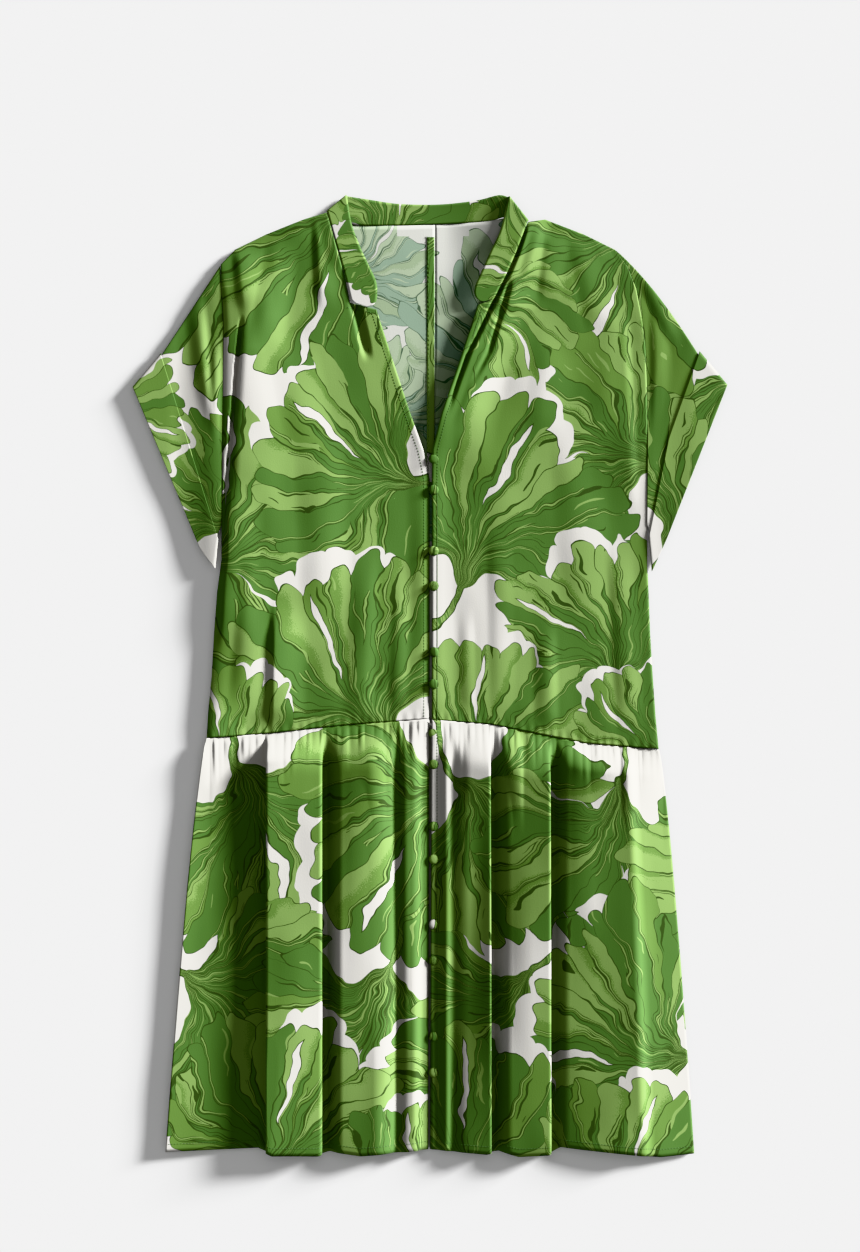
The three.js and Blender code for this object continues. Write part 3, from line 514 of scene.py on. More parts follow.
def printedCrepe(name, leaves, colors, bare=None, source="clothMap", roll=0):
    # viscose crepe, screen printed: matt, a faint sheen at grazing light and a fine pebbled yarn
    material, tree, shader = startMaterial(name)
    calc = partial(maths, tree)
    if source:
        uv = addNode(tree, "ShaderNodeUVMap", {"uv_map": source}).outputs["UV"]
    else:
        uv = addNode(tree, "ShaderNodeTexCoord").outputs["Object"]
    place = addNode(tree, "ShaderNodeMapping", {"vector_type": "POINT"}, {"Vector": uv},
                    {"Scale": [1 / millimetre] * 3}).outputs[0]
    drift = leafShape["drift"]
    wander = noise(tree, "2D", place, leafShape["driftScale"], 2.0)["Color"]
    offset = addNode(tree, "ShaderNodeVectorMath", {"operation": "MULTIPLY_ADD"}, {0: wander}, {
        1: (drift, drift, 0), 2: (-drift / 2, -drift / 2, 0)})
    drawn = addNode(tree, "ShaderNodeVectorMath", {"operation": "ADD"}, {0: place, 1: offset.outputs[0]})
    running = addNode(tree, "ShaderNodeCombineXYZ", values={"Z": -1.0}).outputs[0]
    shift, span = leafShape["seedShift"]
    for i, (x, y, aim, size, spread, curl) in enumerate(leaves):
        seed = leafShape["seedStep"] * (i + 1) + (i * shift) % span + roll
        leaf = addNode(tree, "ShaderNodeGroup", {"node_tree": leafGroup},
                       {"Cloth": drawn.outputs[0], "Under": running}, {
            "Base": (x, y, 0), "Aim": (0, 0, math.radians(aim)), "Size": (size, size, size),
            "Spread": math.radians(spread), "Seed": seed, "Curl": curl})
        running = leaf.outputs["Over"]
    top = addNode(tree, "ShaderNodeSeparateXYZ", links={0: running}).outputs
    grain = noise(tree, "2D", place, 1 / drawing["grain"], 1.0)[0]
    inked = drawLeaf(tree, top, grain, colors)
    rim = calc("LESS_THAN", top["Z"], drawing["outline"])
    inked = drawLens(tree, top, mixColor(tree, rim, inked, colors["line"]), colors)
    printed = calc("GREATER_THAN", top["Z"], 0.0)
    if bare:
        printed = calc("MULTIPLY", printed, outsideOf(tree, place, bare))
    color = mixColor(tree, printed, colors["ground"], inked)
    yarn = addNode(tree, "ShaderNodeTexVoronoi", {"voronoi_dimensions": "2D"}, {"Vector": place},
                   {"Scale": 1 / crepe["pitch"], "Randomness": crepe["unevenness"]}).outputs["Distance"]
    bump = addNode(tree, "ShaderNodeBump", links={"Height": yarn},
                   values={"Strength": crepe["bump"], "Distance": crepe["depth"] * millimetre})
    tree.links.new(color, shader["Base Color"])
    tree.links.new(bump.outputs[0], shader["Normal"])
    shader["Roughness"].default_value = crepe["roughness"]
    shader["Sheen Weight"].default_value = crepe["sheen"]
    shader["Sheen Roughness"].default_value = crepe["sheenRoughness"]
    shader["Specular IOR Level"].default_value = crepe["gloss"]
    return material


# Where the fan leaves lie on each cut piece: stem x and y, aim in degrees, radius, half spread, curl
leafLayouts = {
    "frontBodiceRight": [
        (-104, -70, 98, 290, 60, 0.1), (-88, 478, -104, 190, 85, 0.2), (-236, 96, 60, 185, 92, -0.2),
        (-12, 196, 160, 165, 92, 0.25), (-46, -66, 116, 185, 96, 0.2), (-216, -110, 72, 120, 90, -0.2),
    ],
    "frontBodiceLeft": [
        (214, 462, -118, 190, 90, 0.2), (228, 210, 158, 165, 95, -0.2), (40, 392, -52, 120, 85, 0.2),
        (26, 96, 74, 190, 98, 0.25), (196, -10, 118, 150, 95, -0.2), (52, -104, 92, 140, 95, 0.2),
        (240, -90, 140, 110, 95, 0.2),
    ],
    "skirtRight": [
        (70, -30, -70, 190, 95, 0.2), (330, -70, -150, 190, 95, -0.2), (10, -250, -20, 175, 95, 0.25),
        (250, -250, -105, 180, 98, 0.2), (400, -400, 170, 170, 95, -0.2), (110, -470, 78, 180, 98, 0.2),
        (280, -500, 100, 120, 95, 0.2),
    ],
    "skirtLeft": [
        (30, -60, -50, 180, 95, -0.2), (230, -50, -92, 190, 98, 0.2), (120, -250, -112, 180, 95, 0.2),
        (400, -160, -160, 180, 95, -0.2), (300, -330, 178, 185, 98, 0.2), (30, -480, 70, 175, 95, -0.2),
        (230, -510, 84, 160, 95, 0.2),
    ],
    "sleeveRight": [
        (-196, 150, 138, 122, 90, -0.2), (-340, 250, -6, 96, 95, 0.2), (-176, 470, -126, 196, 88, 0.2),
    ],
    "sleeveLeft": [
        (330, 300, 170, 180, 95, 0.2), (200, 460, -50, 170, 95, -0.2), (240, 130, 62, 150, 95, 0.2),
        (350, 420, -140, 90, 90, 0.2),
    ],
    "trim": [
        (20, 70, -80, 95, 100, 0.3), (112, -34, 60, 118, 95, 0.2), (236, 60, -120, 118, 95, -0.2),
        (352, -26, 120, 60, 95, 0.3),
    ],
    "back": [
        (-98, 398, 16, 100, 92, -0.2), (-34, 222, 98, 112, 88, 0.2), (112, 300, 124, 152, 92, 0.2),
        (40, 130, 92, 120, 92, -0.2), (150, 486, -164, 92, 80, 0.2),
    ],
    # the pressed allowance of the centre-back seam, and the covers of the buttons
    "seam": [(16, 250, -92, 220, 95, 0.2), (16, 470, -92, 260, 95, -0.2)],
    "covers": [
        (3, 270, -90, 220, 95, 0.2), (3, 90, -90, 220, 95, -0.2), (3, -110, -90, 220, 95, 0.2),
        (3, -300, -90, 220, 95, -0.2),
    ],
}
# picks which wedges of a piece's leaves are the light ones
wedgeRolls = {"frontBodiceRight": 200, "frontBodiceLeft": 0, "skirtRight": 200, "skirtLeft": 600}
# a bare strip of the back's inside, under the collar band
bareStrip = {"x": (-33.5, 38.5), "y": (439.6, 452)}

bodice = {
    "step": 1.8,  # mm between the points of the cloth
    "fullness": 1.8,
    "unevenness": 0.5,
    # shares of the width over which fullness, unevenness and folds come in, from the side and the front
    "fullnessEnds": (0.25, 0.4),
    "unevenEnds": (0.1, 0.12),
    "foldEnd": 0.03,
    "edgeReach": 70,  # how far a shoulder or waist line bows the rows of cloth beside it
    "chestRow": 8,  # the row that a panel's width is taken along
    # width and drop of the turned-down side, which ends at the shoulder, and of the front edge
    "sideRoll": {"right": (15.0, 2.4), "left": (3.0, 0.2)},
    "rollTop": 430,
    "frontRoll": {"right": (2.2, 0.3), "left": (2.2, 0.15)},
    # outer x, y (armhole, then side seam) and inner x, y (collar seam, neck edge, front edge)
    "right": [
        (-209.5, 411, -103.5, 463), (-209, 390, -96, 436), (-207.5, 370, -90.7, 417),
        (-206.5, 349, -87.5, 405), (-206.8, 332, -84, 391), (-207, 316, -80.5, 373),
        (-207.2, 309, -54, 366), (-207.5, 280, -39.5, 321), (-208, 245, -20, 262), (-208.3, 218, -7, 226),
        (-208.5, 190, -1.1, 197), (-208.5, 150, -1.1, 155), (-208.7, 116, -1.1, 118),
        (-213, 84, -1.1, 86), (-216, 44, -1.1, 50), (-218.5, 0, -1.1, 10), (-222, -36, -1.1, -22),
        (-223.5, -62, -1.1, -43.5),
    ],
    "left": [
        (184.5, 426, 97.2, 453), (197, 409, 90.7, 436), (205.5, 387, 84.5, 420), (211.5, 356, 75.5, 400),
        (214.5, 333, 63.5, 376), (215, 325, 47, 370), (216.2, 290, 31, 321), (217, 245, 11, 262),
        (216.9, 218, 1.8, 226), (216.7, 190, 1.4, 197), (216.4, 150, 1.4, 155), (216.6, 112, 1.4, 118),
        (218, 84, 1.4, 86), (219.5, 44, 1.4, 50), (222, 2, 1.4, 10), (225, -40, 1.4, -22),
        (228, -73, 1.4, -43.5),
    ],
    # crest from x0, y0 to x1, y1, rise, and how far it falls away to either side
    "folds": [
        (-180, 366, -192, 170, 2.6, 12, 48), (-200, 180, -207, 40, 3.4, 7, 36),
        (-190, 424, -184, 368, 2.4, 10, 30), (-112, 452, -108, 372, 2.4, 8, 20),
        (-96, 456, -88, 408, 2.0, 16, 6), (112, 448, 94, 392, 2.0, 10, 34),
        (90, 396, 62, 330, 1.8, 10, 38), (60, 330, 32, 256, 1.6, 9, 26), (122, 440, 114, 380, 1.6, 9, 20),
        (190, 360, 200, 180, 1.8, 40, 10), (-155, 60, -158, -58, 4.2, 5, 34),
        (-110, 250, -102, 70, 2.2, 30, 26), (116, 46, 118, -62, 1.7, 16, 12),
        (140, 250, 152, 50, 1.0, 24, 34), (-176, 120, -190, -30, 1.6, 14, 22),
        (186, 120, 196, -50, 1.3, 12, 20), (-62, 120, -70, -50, 1.6, 20, 14),
        (66, 150, 70, -52, 0.9, 12, 18), (-150, 430, -166, 340, 2.2, 16, 22),
        (152, 428, 168, 350, 1.4, 16, 22), (-30, 90, -34, -45, 1.2, 10, 12),
        (36, 60, 38, -46, 0.8, 10, 9), (-140, 330, -120, 230, 1.6, 26, 30),
        (120, 330, 110, 240, 0.9, 20, 34),
    ],
    # lines of the sharp creases: beside the right armhole, and down both sides of the V
    "creases": [
        ([(-188, 362), (-193, 310), (-199, 234), (-206, 158), (-210, 96)], -7.0, 3.0, 3.2),
        ([(-82, 396), (-74.5, 366), (-70, 348), (-66, 330), (-62, 312)], -5.0, 5.5, 7.0),
        ([(97, 452), (86, 420), (77, 400), (61.5, 370), (48, 342), (36.8, 320), (24, 284), (15, 256)],
         -6.5, 2.6, 2.8),
        ([(80, 398), (71, 366), (58, 324), (38, 286)], -2.8, 3.4, 4.6),
    ],
}


# The bodice is drawn down to its waist seam, and puckers along it
waistSeam = {
    "rise": 0.9, "sideShare": 0.8, "sideReach": 40,
    "keeps": 0.3, "reach": 26,  # the share of its height that it keeps at the seam
    "puckers": (0.72, 1.3, 0.11),  # radians for each mm, how far they stray from that, and how slowly
    "puckerHeight": 0.3, "puckerReach": 13,
}
backPanel = {
    "columns": 80, "rowStep": 4,
    "clear": 0.05,  # above the surface
    "wave": (0.25, 0.05, 0.02),  # height, and radians for each mm across and along
    "highest": 1.2,
    # where the back rises at the left of the nape: x and reach, x where that ends, y from and reach
    "nape": 6.0, "napeFrom": (14, 62), "napeTo": (80, 14), "napeUp": (395, 55),
}


def frontZ(x, y):
    # the level of the front before its folds, with the lap of its two edges
    z = cloth["frontZ"] + lap["bandRise"] * smooth(1 - (np.abs(x) - lap["bandWidth"]) / lap["bandReach"])
    over = lap["over"] * (1 - smooth((x - lap["edge"]) / lap["overReach"]))
    under = -lap["under"] * (1 - smooth((-lap["edge"] - x) / lap["underReach"]))
    return z + np.where(x > 0, over, under) * smooth((lap["top"] - y) / lap["topReach"])


def panelPlan(levels, s, step, gap):
    # dense rows between the levels of the table, bowed to the shoulder line and the waist line
    table = np.array(levels, dtype=float)
    run = runOf(table[:, 2:])
    rows = []
    for a, b, ra, rb in zip(table[:-1], table[1:], run[:-1], run[1:]):
        count = max(1, round(max(rb - ra, np.hypot(*(b - a)[:2])) / step))
        rows += [mix(a, b, k / count) for k in range(count)]
    rows = np.array(rows + [table[-1]])
    top, bottom = table[0], table[-1]
    side = np.sign(top[0])

    def bow(level, line):
        return levelOf(line, mix(level[0], level[2], s)) - mix(level[1], level[3], s)

    nearTop = 1 - np.clip((top[1] - rows[:, 1]) / bodice["edgeReach"], 0, 1)
    nearBottom = 1 - np.clip((rows[:, 1] - bottom[1]) / bodice["edgeReach"], 0, 1)
    x = mix(rows[:, :1] - side * gap / 2, rows[:, 2:3], s)
    y = mix(rows[:, 1:2], rows[:, 3:4], s) + nearTop[:, None] * bow(top, shoulderLine)
    y += nearBottom[:, None] * (bow(bottom, waistLine) + gap / 2)
    return x, y


def panelWidth(levels):
    outer, _, inner, _ = levels[bodice["chestRow"]]
    return abs(outer - inner)


def bodiceZ(x, y, s, width):
    fromSide, fromFront, fromWaist = s * width, (1 - s) * width, y - levelOf(waistLine, x)
    first, last = bodice["fullnessEnds"]
    z = frontZ(x, y) + bodice["fullness"] * smooth(s / first) * smooth((1 - s) / last)
    widening = mix(fullness["sideReachWaist"], fullness["sideReachRight"],
                   smooth(fromWaist / fullness["sideWidens"]))
    reach = np.where(x < 0, widening, fullness["sideReachLeft"])
    z = z + sideLift(x) * (1 - smooth(fromSide / reach)) * belowShoulder(y)
    reach = np.where(x < 0, fullness["neckReachRight"], fullness["neckReachLeft"])
    z = z + neckLift(x, y) * (1 - smooth(fromFront / reach))
    folds = foldRise(bodice["folds"], x, y) + creaseRise(bodice["creases"], x, y)
    z = z + folds * smooth(s / bodice["foldEnd"])
    first, last = bodice["unevenEnds"]
    z = z + softWaves(x, y, bodice["unevenness"]) * smooth(s / first) * smooth((1 - s) / last)

    atSide = waistSeam["sideShare"] * sideLift(x) * (1 - smooth(fromSide / waistSeam["sideReach"]))
    seamZ = cloth["frontZ"] + waistSeam["rise"] + atSide
    z = mix(seamZ, z, mix(waistSeam["keeps"], 1.0, smooth(fromWaist / waistSeam["reach"])))
    quick, stray, slow = waistSeam["puckers"]
    pucker = np.sin(x * quick + stray * np.sin(x * slow)) * smooth(1 - fromWaist / waistSeam["puckerReach"])
    return np.maximum(z + waistSeam["puckerHeight"] * pucker, cloth["frontZ"] - cloth["dip"])


def edgeRoll(s, width, drop):
    # a folded edge turns down over its last millimetres
    d = np.clip(1 - s / width, 0, 1)
    return drop * d**3


def keepAboveSurface(obj):
    for vertex in obj.data.vertices:
        vertex.co.z = max(vertex.co.z, 0.0)


def makeBodiceFront(side, name, node, material):
    levels = bodice[side]
    width = panelWidth(levels)
    s = np.linspace(0, 1, int(width / bodice["step"]) + 1)
    x, y = panelPlan(levels, s, bodice["step"], cloth["gap"])
    sideRoll = edgeRoll(s * width, *bodice["sideRoll"][side]) * belowShoulder(y, bodice["rollTop"])
    z = bodiceZ(x, y, s, width) - sideRoll
    z -= edgeRoll((1 - s) * width, *bodice["frontRoll"][side])
    obj = sheetPiece(name, np.stack([x, y, z], axis=-1), np.stack([x, y], axis=-1), material)
    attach(obj, "root")
    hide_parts(node)
    return obj


def makeBodiceBack(side, name, node, material):
    # the outer edge of the front, and a straight centre-back seam
    levels = bodice[side]
    edge = cloth["centreBackX"] + (-1 if side == "right" else 1) * cloth["gap"] / 2
    topY, bottomY = levelOf(shoulderLine, edge), levelOf(waistLine, edge)
    span = levels[0][1] - levels[-1][1]
    back = [(ox, oy, edge, mix(topY, bottomY, (levels[0][1] - oy) / span)) for ox, oy, _, _ in levels]
    s = np.linspace(0, 1, backPanel["columns"])
    x, y = panelPlan(back, s, backPanel["rowStep"], cloth["gap"])
    height, across, along = backPanel["wave"]
    z = cloth["thickness"] + backPanel["clear"] + height * (1 + np.sin(x * across + along * y))
    rise = sideLift(x) * fullness["backShare"]
    rise = rise * (1 - smooth(s * panelWidth(back) / fullness["backReach"])) * belowShoulder(y)
    z = np.minimum(z, backPanel["highest"]) + rise
    nape = backPanel["nape"] * ramp(x, *backPanel["napeFrom"]) * (1 - ramp(x, *backPanel["napeTo"]))
    z += nape * ramp(y, *backPanel["napeUp"])
    obj = sheetPiece(name, np.stack([x, y, z], axis=-1), np.stack([x, y], axis=-1), material)
    keepAboveSurface(obj)
    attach(obj, "root")
    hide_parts(node)
    return obj


skirt = {
    "highest": 20.8,
    "hemTurn": 7.5,
    "hemRoll": (3.0, 0.6),
    "length": 434,
    "step": 1.9,  # mm between the points of the cloth, and between its rows
    "rowStep": 4.0,
    "topRows": (40, 2.0),  # closer rows down to this drop
    "flare": 0.75,
    "growth": (46, 30),  # how far down the folds and the side panels reach their full depth
    "sidePanel": 130,
    "flat": 1,  # mm, a rise that counts as no fold
    "wander": (0.07, 70, 1.7),  # share of a fold's rise, mm for each radian, and radians from fold to fold
    "steady": {"right": 3, "left": 1},  # knots at the side seam whose rise is there at the waist already
    "unevenness": 0.3,
    "evenBand": (6, 20),  # the buttoned edge stays even
    "corner": (0.48, 0.4),  # shares of a fold's side that a turn may take, and that count for its columns
    "turnSteps": 4,
    "fullRow": -20,  # the cloth's width is measured along this row
    # pitch, how far each runs down, height and the drop at which it is highest
    "gathers": [((5, 10), (12, 50), 1.2, 7), ((15, 36), (30, 120), 2.1, 16)],
    "gatherSeeds": {"right": 5, "left": 8},
    "gatherHeights": (0.15, 1.0),
    "gatherLean": (0.16, 20),  # at most, and over how many mm of drop
    "gatherMargin": (4, 40),
    "gatherCrest": 2.4,
    "gatherAtSeam": 0.3,
    # waist x, hem x, sideways shift, rise, and the radius that the cloth turns with
    "right": [
        (-223.5, -264.5, 0, 6.4, 6), (-214, -250, 0, 5.0, 12), (-205, -214, 0, 2.8, 14),
        (-173, -173, 0, 2.4, 5), (-166.5, -167, 3, 2, 1.5), (-163.5, -163.5, -0.5, 17.6, 2.6),
        (-140, -138, 0, 16.8, 20), (-109, -109, 1, 15.6, 3), (-106, -106, -2, 0.8, 1.2),
        (-102.5, -102.5, -0.5, 0.8, 1.2), (-93, -92, 0, 12.6, 5), (-74, -70, 0, 14.4, 12),
        (-57, -52, 0, 14.8, 14), (-44, -43, 0, 12, 9), (-34, -33, 0, 3.8, 5), (-27, -25, 0, 10, 6),
        (-15, -14.5, 0, 9, 4), (-8.5, -9, 0, 1.6, 2.5), (-1.1, -2.4, 0, 0.8, 1),
    ],
    "left": [
        (1.4, -0.4, 0, 0.8, 1), (8.5, 8.5, 0, 1.4, 2), (16, 16, 0, 7.6, 5), (22, 22, 0, 5, 5),
        (34, 32, 0, 9.6, 9), (48, 46, 0, 11.6, 9), (59, 60, 1, 15, 2.4), (61.5, 62.5, -2.5, 0.8, 1.2),
        (64, 65, -1, 0.8, 1.2), (74, 76, 0, 10.4, 6), (92, 94, 0, 13, 14), (118.5, 119.5, 1, 15.6, 2.4),
        (121.5, 122.5, -2.5, 1, 1.5), (125, 126, -1, 1.6, 1.5), (133, 134, 0, 7.4, 5),
        (150, 157, 0, 10.4, 14), (172, 182, 0, 11.8, 14), (196, 213, 0, 14, 6), (202, 220, 0, 7.8, 5),
        (210, 234, 0, 5.2, 10), (228, 263.5, 0, 1.2, 8),
    ],
}


def roundedSection(x, z, radii):
    # a cross-section through the fold table's points, each corner turned with its own radius. Every
    # row has as many points, so the count comes from the full fold.
    share, counted = skirt["corner"]
    points = np.stack([x, z], axis=-1)
    lengths = np.linalg.norm(np.diff(points, axis=1), axis=-1)
    widest = lengths.max(axis=0)
    before = points[:, 0]
    columns = [before]
    for k in range(1, points.shape[1]):
        here = points[:, k]
        last = k == points.shape[1] - 1
        toHere = (here - points[:, k - 1]) / np.maximum(lengths[:, k - 1:k], 1e-6)
        if last:
            end = here
        else:
            cut = np.minimum(radii[k], share * np.minimum(lengths[:, k - 1], lengths[:, k]))[:, None]
            toNext = (points[:, k + 1] - here) / np.maximum(lengths[:, k:k + 1], 1e-6)
            end = here - toHere * cut
            after = here + toNext * cut
        count = max(1, round((widest[k - 1] - min(radii[k], widest[k - 1] * counted)) / skirt["step"]))
        columns += [mix(before, end, (i + 1) / count) for i in range(count)]
        if not last:
            turn = max(skirt["turnSteps"], round(2 * min(radii[k], widest[k - 1]) / skirt["step"]))
            for i in range(1, turn + 1):
                t = i / turn
                columns.append((1 - t) ** 2 * end + 2 * t * (1 - t) * here + t * t * after)
            before = after
    return np.stack(columns, axis=1)


def gatherRise(x, drop, side):
    # cloth drawn up on its seam: rounded crests with sharp valleys, each running out at its own depth
    source = np.random.default_rng(skirt["gatherSeeds"][side])
    total = np.zeros_like(x)
    lowest, highest = skirt["gatherHeights"]
    before, after = skirt["gatherMargin"]
    mostLean, leanDrop = skirt["gatherLean"]
    for pitch, reach, height, peak in skirt["gathers"]:
        valleys, place = [], x.min() - before
        while place < x.max() + after:
            valleys.append(place)
            place += source.uniform(*pitch)
        valleys = np.array(valleys)
        heights = source.uniform(lowest, highest, len(valleys))
        reaches = source.uniform(*reach, len(valleys))
        lean = source.uniform(-mostLean, mostLean, len(valleys))
        k = np.clip(np.searchsorted(valleys, x) - 1, 0, len(valleys) - 2)
        f = (x - valleys[k]) / (valleys[k + 1] - valleys[k])
        f = np.clip(f + lean[k] * drop / leanDrop * np.sin(math.pi * f), 0, 1)
        crest = 1 - np.abs(2 * f - 1) ** skirt["gatherCrest"]
        grow = mix(skirt["gatherAtSeam"], 1.0, smooth(drop / peak))
        total += height * heights[k] * crest * grow * (1 - smooth((drop - peak) / reaches[k]))
    return total


def skirtGrid(side):
    # the laid surface of a skirt front, with the run of its cloth across and its drop from the waist
    table = np.array(skirt[side], dtype=float)
    drop = np.arange(0, skirt["length"] + 1, skirt["rowStep"])
    drop = np.unique(np.concatenate([drop, np.arange(0, *skirt["topRows"])]))
    t = (drop / drop[-1])[:, None]
    foldReach, panelReach = skirt["growth"]
    growth = smooth(drop[:, None] / np.where(np.abs(table[:, 0]) > skirt["sidePanel"], panelReach, foldReach))
    knotX = mix(table[:, 0], table[:, 1], t ** skirt["flare"]) + table[:, 2] * growth
    share, pitch, shift = skirt["wander"]
    wander = 1 + share * np.sin(drop[:, None] / pitch + np.arange(len(table)) * shift)
    fromSide = np.arange(len(table)) if side == "right" else np.arange(len(table))[::-1]
    knotZ = table[:, 3] * np.where(fromSide < skirt["steady"][side], 1, growth)
    knotZ = knotZ * np.where(table[:, 3] > skirt["flat"], wander, 1)
    section = roundedSection(knotX, knotZ, table[:, 4])
    x, rise = section[..., 0], section[..., 1]
    u = runOf(section[skirt["fullRow"]])
    drops = np.repeat(drop[:, None], x.shape[1], axis=1)
    y = mix(levelOf(waistLine, x) - cloth["gap"] / 2, levelOf(hemLine, x), t)
    z = frontZ(x, y) + rise + gatherRise(x, drops, side)
    z += softWaves(x, y, skirt["unevenness"]) * growth[:, :1] * ramp(np.abs(x), *skirt["evenBand"])
    z -= edgeRoll(drop[-1] - drops, *skirt["hemRoll"])
    z = np.clip(z, cloth["frontZ"] - cloth["dip"], skirt["highest"])
    return x, y, z, u, drops


def makeSkirtFront(side, name, node, material):
    x, y, z, u, drops = skirtGrid(side)
    uv = np.stack([np.broadcast_to(u, x.shape), -drops], axis=-1)
    obj = sheetPiece(name, np.stack([x, y, z], axis=-1), uv, material)
    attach(obj, "root")
    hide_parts(node)
    return obj


skirtBackShape = {
    "rows": 90, "columns": 160,
    "shorter": 1.2,
    "gathers": (0.4, 0.27, 0.05),  # height, radians for each mm, and how slowly their pitch wanders
    "gatherReach": 70,
}


def makeSkirtBack(name, node, material):
    drop = np.linspace(0, skirt["length"], skirtBackShape["rows"])[:, None]
    t = drop / drop[-1]
    f = np.linspace(0, 1, skirtBackShape["columns"])
    waistX = mix(skirt["right"][0][0], skirt["left"][-1][0], f)
    hemX = mix(skirt["right"][0][1], skirt["left"][-1][1], f)
    x = mix(waistX, hemX, t ** skirt["flare"])
    y = mix(levelOf(waistLine, x) - cloth["gap"] / 2, levelOf(hemLine, x) + skirtBackShape["shorter"], t)
    height, quick, slow = skirtBackShape["gathers"]
    gather = height * np.abs(np.sin(x * quick + np.sin(x * slow)))
    gather = gather * (1 - smooth(drop / skirtBackShape["gatherReach"]))
    inwards = np.minimum(f, 1 - f) * (waistX.max() - waistX.min())
    rise = sideLift(x) * fullness["backShare"] * (1 - smooth(inwards / fullness["backReach"]))
    z = cloth["thickness"] + gather + rise
    obj = sheetPiece(name, np.stack([x, y, z], axis=-1), np.stack([x, y], axis=-1), material)
    keepAboveSurface(obj)
    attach(obj, "root")
    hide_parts(node)
    return obj


sleeve = {
    "rowStep": 3.0,
    "across": 64,
    "lift": 1.5,  # the turned-up cuff raises the sleeve inside it
    "liftStart": 12,
    "liftReach": 34,
    "standShare": 0.75,  # of the side's lift, at the armhole
    "standFrom": 210,
    "standReach": 46,
    "endStands": 2.2,
    "endFrom": 225,
    "endReach": 40,
    "unevenness": 0.35,
    "dip": 0.3,
    "crownReach": 60,  # how far the rounded head runs down the armhole, and along the sleeve
    "crownRun": (1.1, 0.8),
    "cuffWall": 0.9,  # doubled cloth
    "cuffUnevenness": 0.06,
    "cuffPressed": 0.3,
    "cuffPoints": 24,
    "sideTurn": 6,  # points round half of a side's fold and round an open end, and the flat beside that
    "endTurn": 4,
    "endFlat": 0.3,
    "right": {
        "crown": 0.0,
        "underarm": 11,
        "head": (-209.9, 410),
        "end": [(-290, 288), (-228, 136), (-219, 126)],
        "cuffInner": [(-269.5, 322.5), (-211.5, 136)],
        "cuffOuter": [(-297.5, 289), (-229.5, 126), (-214.5, 107)],
        "folds": [
            (-232, 372, -222, 240, 3.0, 16, 9), (-250, 345, -244, 262, 1.8, 12, 12),
            (-214, 330, -216, 230, 1.6, 7, 7), (-236, 250, -226, 170, 1.6, 12, 9),
        ],
    },
    "left": {
        "crown": 6.0,  # how far its head rounds out beside the shoulder
        "underarm": 10,
        "head": (184.9, 425.6),
        "end": [(290, 288), (233, 142), (227, 125)],
        "cuffInner": [(268.8, 324.6), (238, 238), (218.2, 138)],
        "cuffOuter": [(296.5, 291), (236, 137), (221, 104)],
        "folds": [
            (226, 366, 228, 236, 1.6, 9, 18), (214, 400, 250, 330, 2.0, 12, 14),
            (236, 300, 232, 200, 1.4, 9, 12), (246, 340, 256, 270, 1.4, 8, 10),
        ],
    },
}


def pointsAlong(line, shares):
    line = np.array(line, dtype=float)
    run = runOf(line)
    at = np.asarray(shares) * run[-1]
    return np.stack([np.interp(at, run, line[:, 0]), np.interp(at, run, line[:, 1])], axis=-1)


def flattenedTube(name, lines, low, high, wall, material):
    # two layers joined by a half-round fold at each side; both open ends are half-round too
    across = sleeve["across"]
    turn = np.linspace(0, math.pi / 2, sleeve["sideTurn"])
    ends = np.linspace(0, math.pi / 2, sleeve["endTurn"])
    rows = [(0.5 * wall * (1 - math.cos(a)), math.sin(a)) for a in ends]
    rows.append((0.5 * wall + sleeve["endFlat"], 1.0))
    length = np.hypot(*(lines(1.0).mean(axis=0) - lines(0.0).mean(axis=0)))
    count = max(2, round(length / sleeve["rowStep"]))
    middle = [(length * k / count, 1.0) for k in range(1, count)]
    rows = rows + middle + [(length - d, s) for d, s in reversed(rows)]
    outer, inner = [], []
    for distance, full in rows:
        line = lines(distance / length)
        run = runOf(line)[-1]
        centre = pointsAlong(line, [0.5])[0]
        radius = (high(*centre) - low(*centre)) / 2
        for store, offset in ((outer, 0.5 * wall * (1 - full)), (inner, 0.5 * wall * (1 + full))):
            reach = radius - offset
            near = (offset + reach * (1 - np.cos(turn))) / run
            shares = np.concatenate([near, np.linspace(near[-1], 1 - near[-1], across)[1:-1], 1 - near[::-1]])
            rise = np.concatenate([np.sin(turn), np.ones(across - 2), np.sin(turn)[::-1]])
            x, y = pointsAlong(line, shares).T
            half = (high(x, y) - low(x, y)) / 2 - offset
            mid = (high(x, y) + low(x, y)) / 2
            upper = np.stack([x, y, mid + rise * half], axis=-1)
            lower = np.stack([x, y, mid - rise * half], axis=-1)
            store.append(np.concatenate([upper, lower[-2:0:-1]]))
    outer, inner = np.array(outer), np.array(inner)
    return tubePiece(name, outer, inner, outer[..., :2], material)


def standOff(x, y):
    # the sleeve rises to the armhole and its turned-up end stands a little off the surface
    out = np.abs(x)
    near = sideLift(x) * sleeve["standShare"] * (1 - ramp(out, sleeve["standFrom"], sleeve["standReach"]))
    return near * belowShoulder(y) + sleeve["endStands"] * ramp(out, sleeve["endFrom"], sleeve["endReach"])


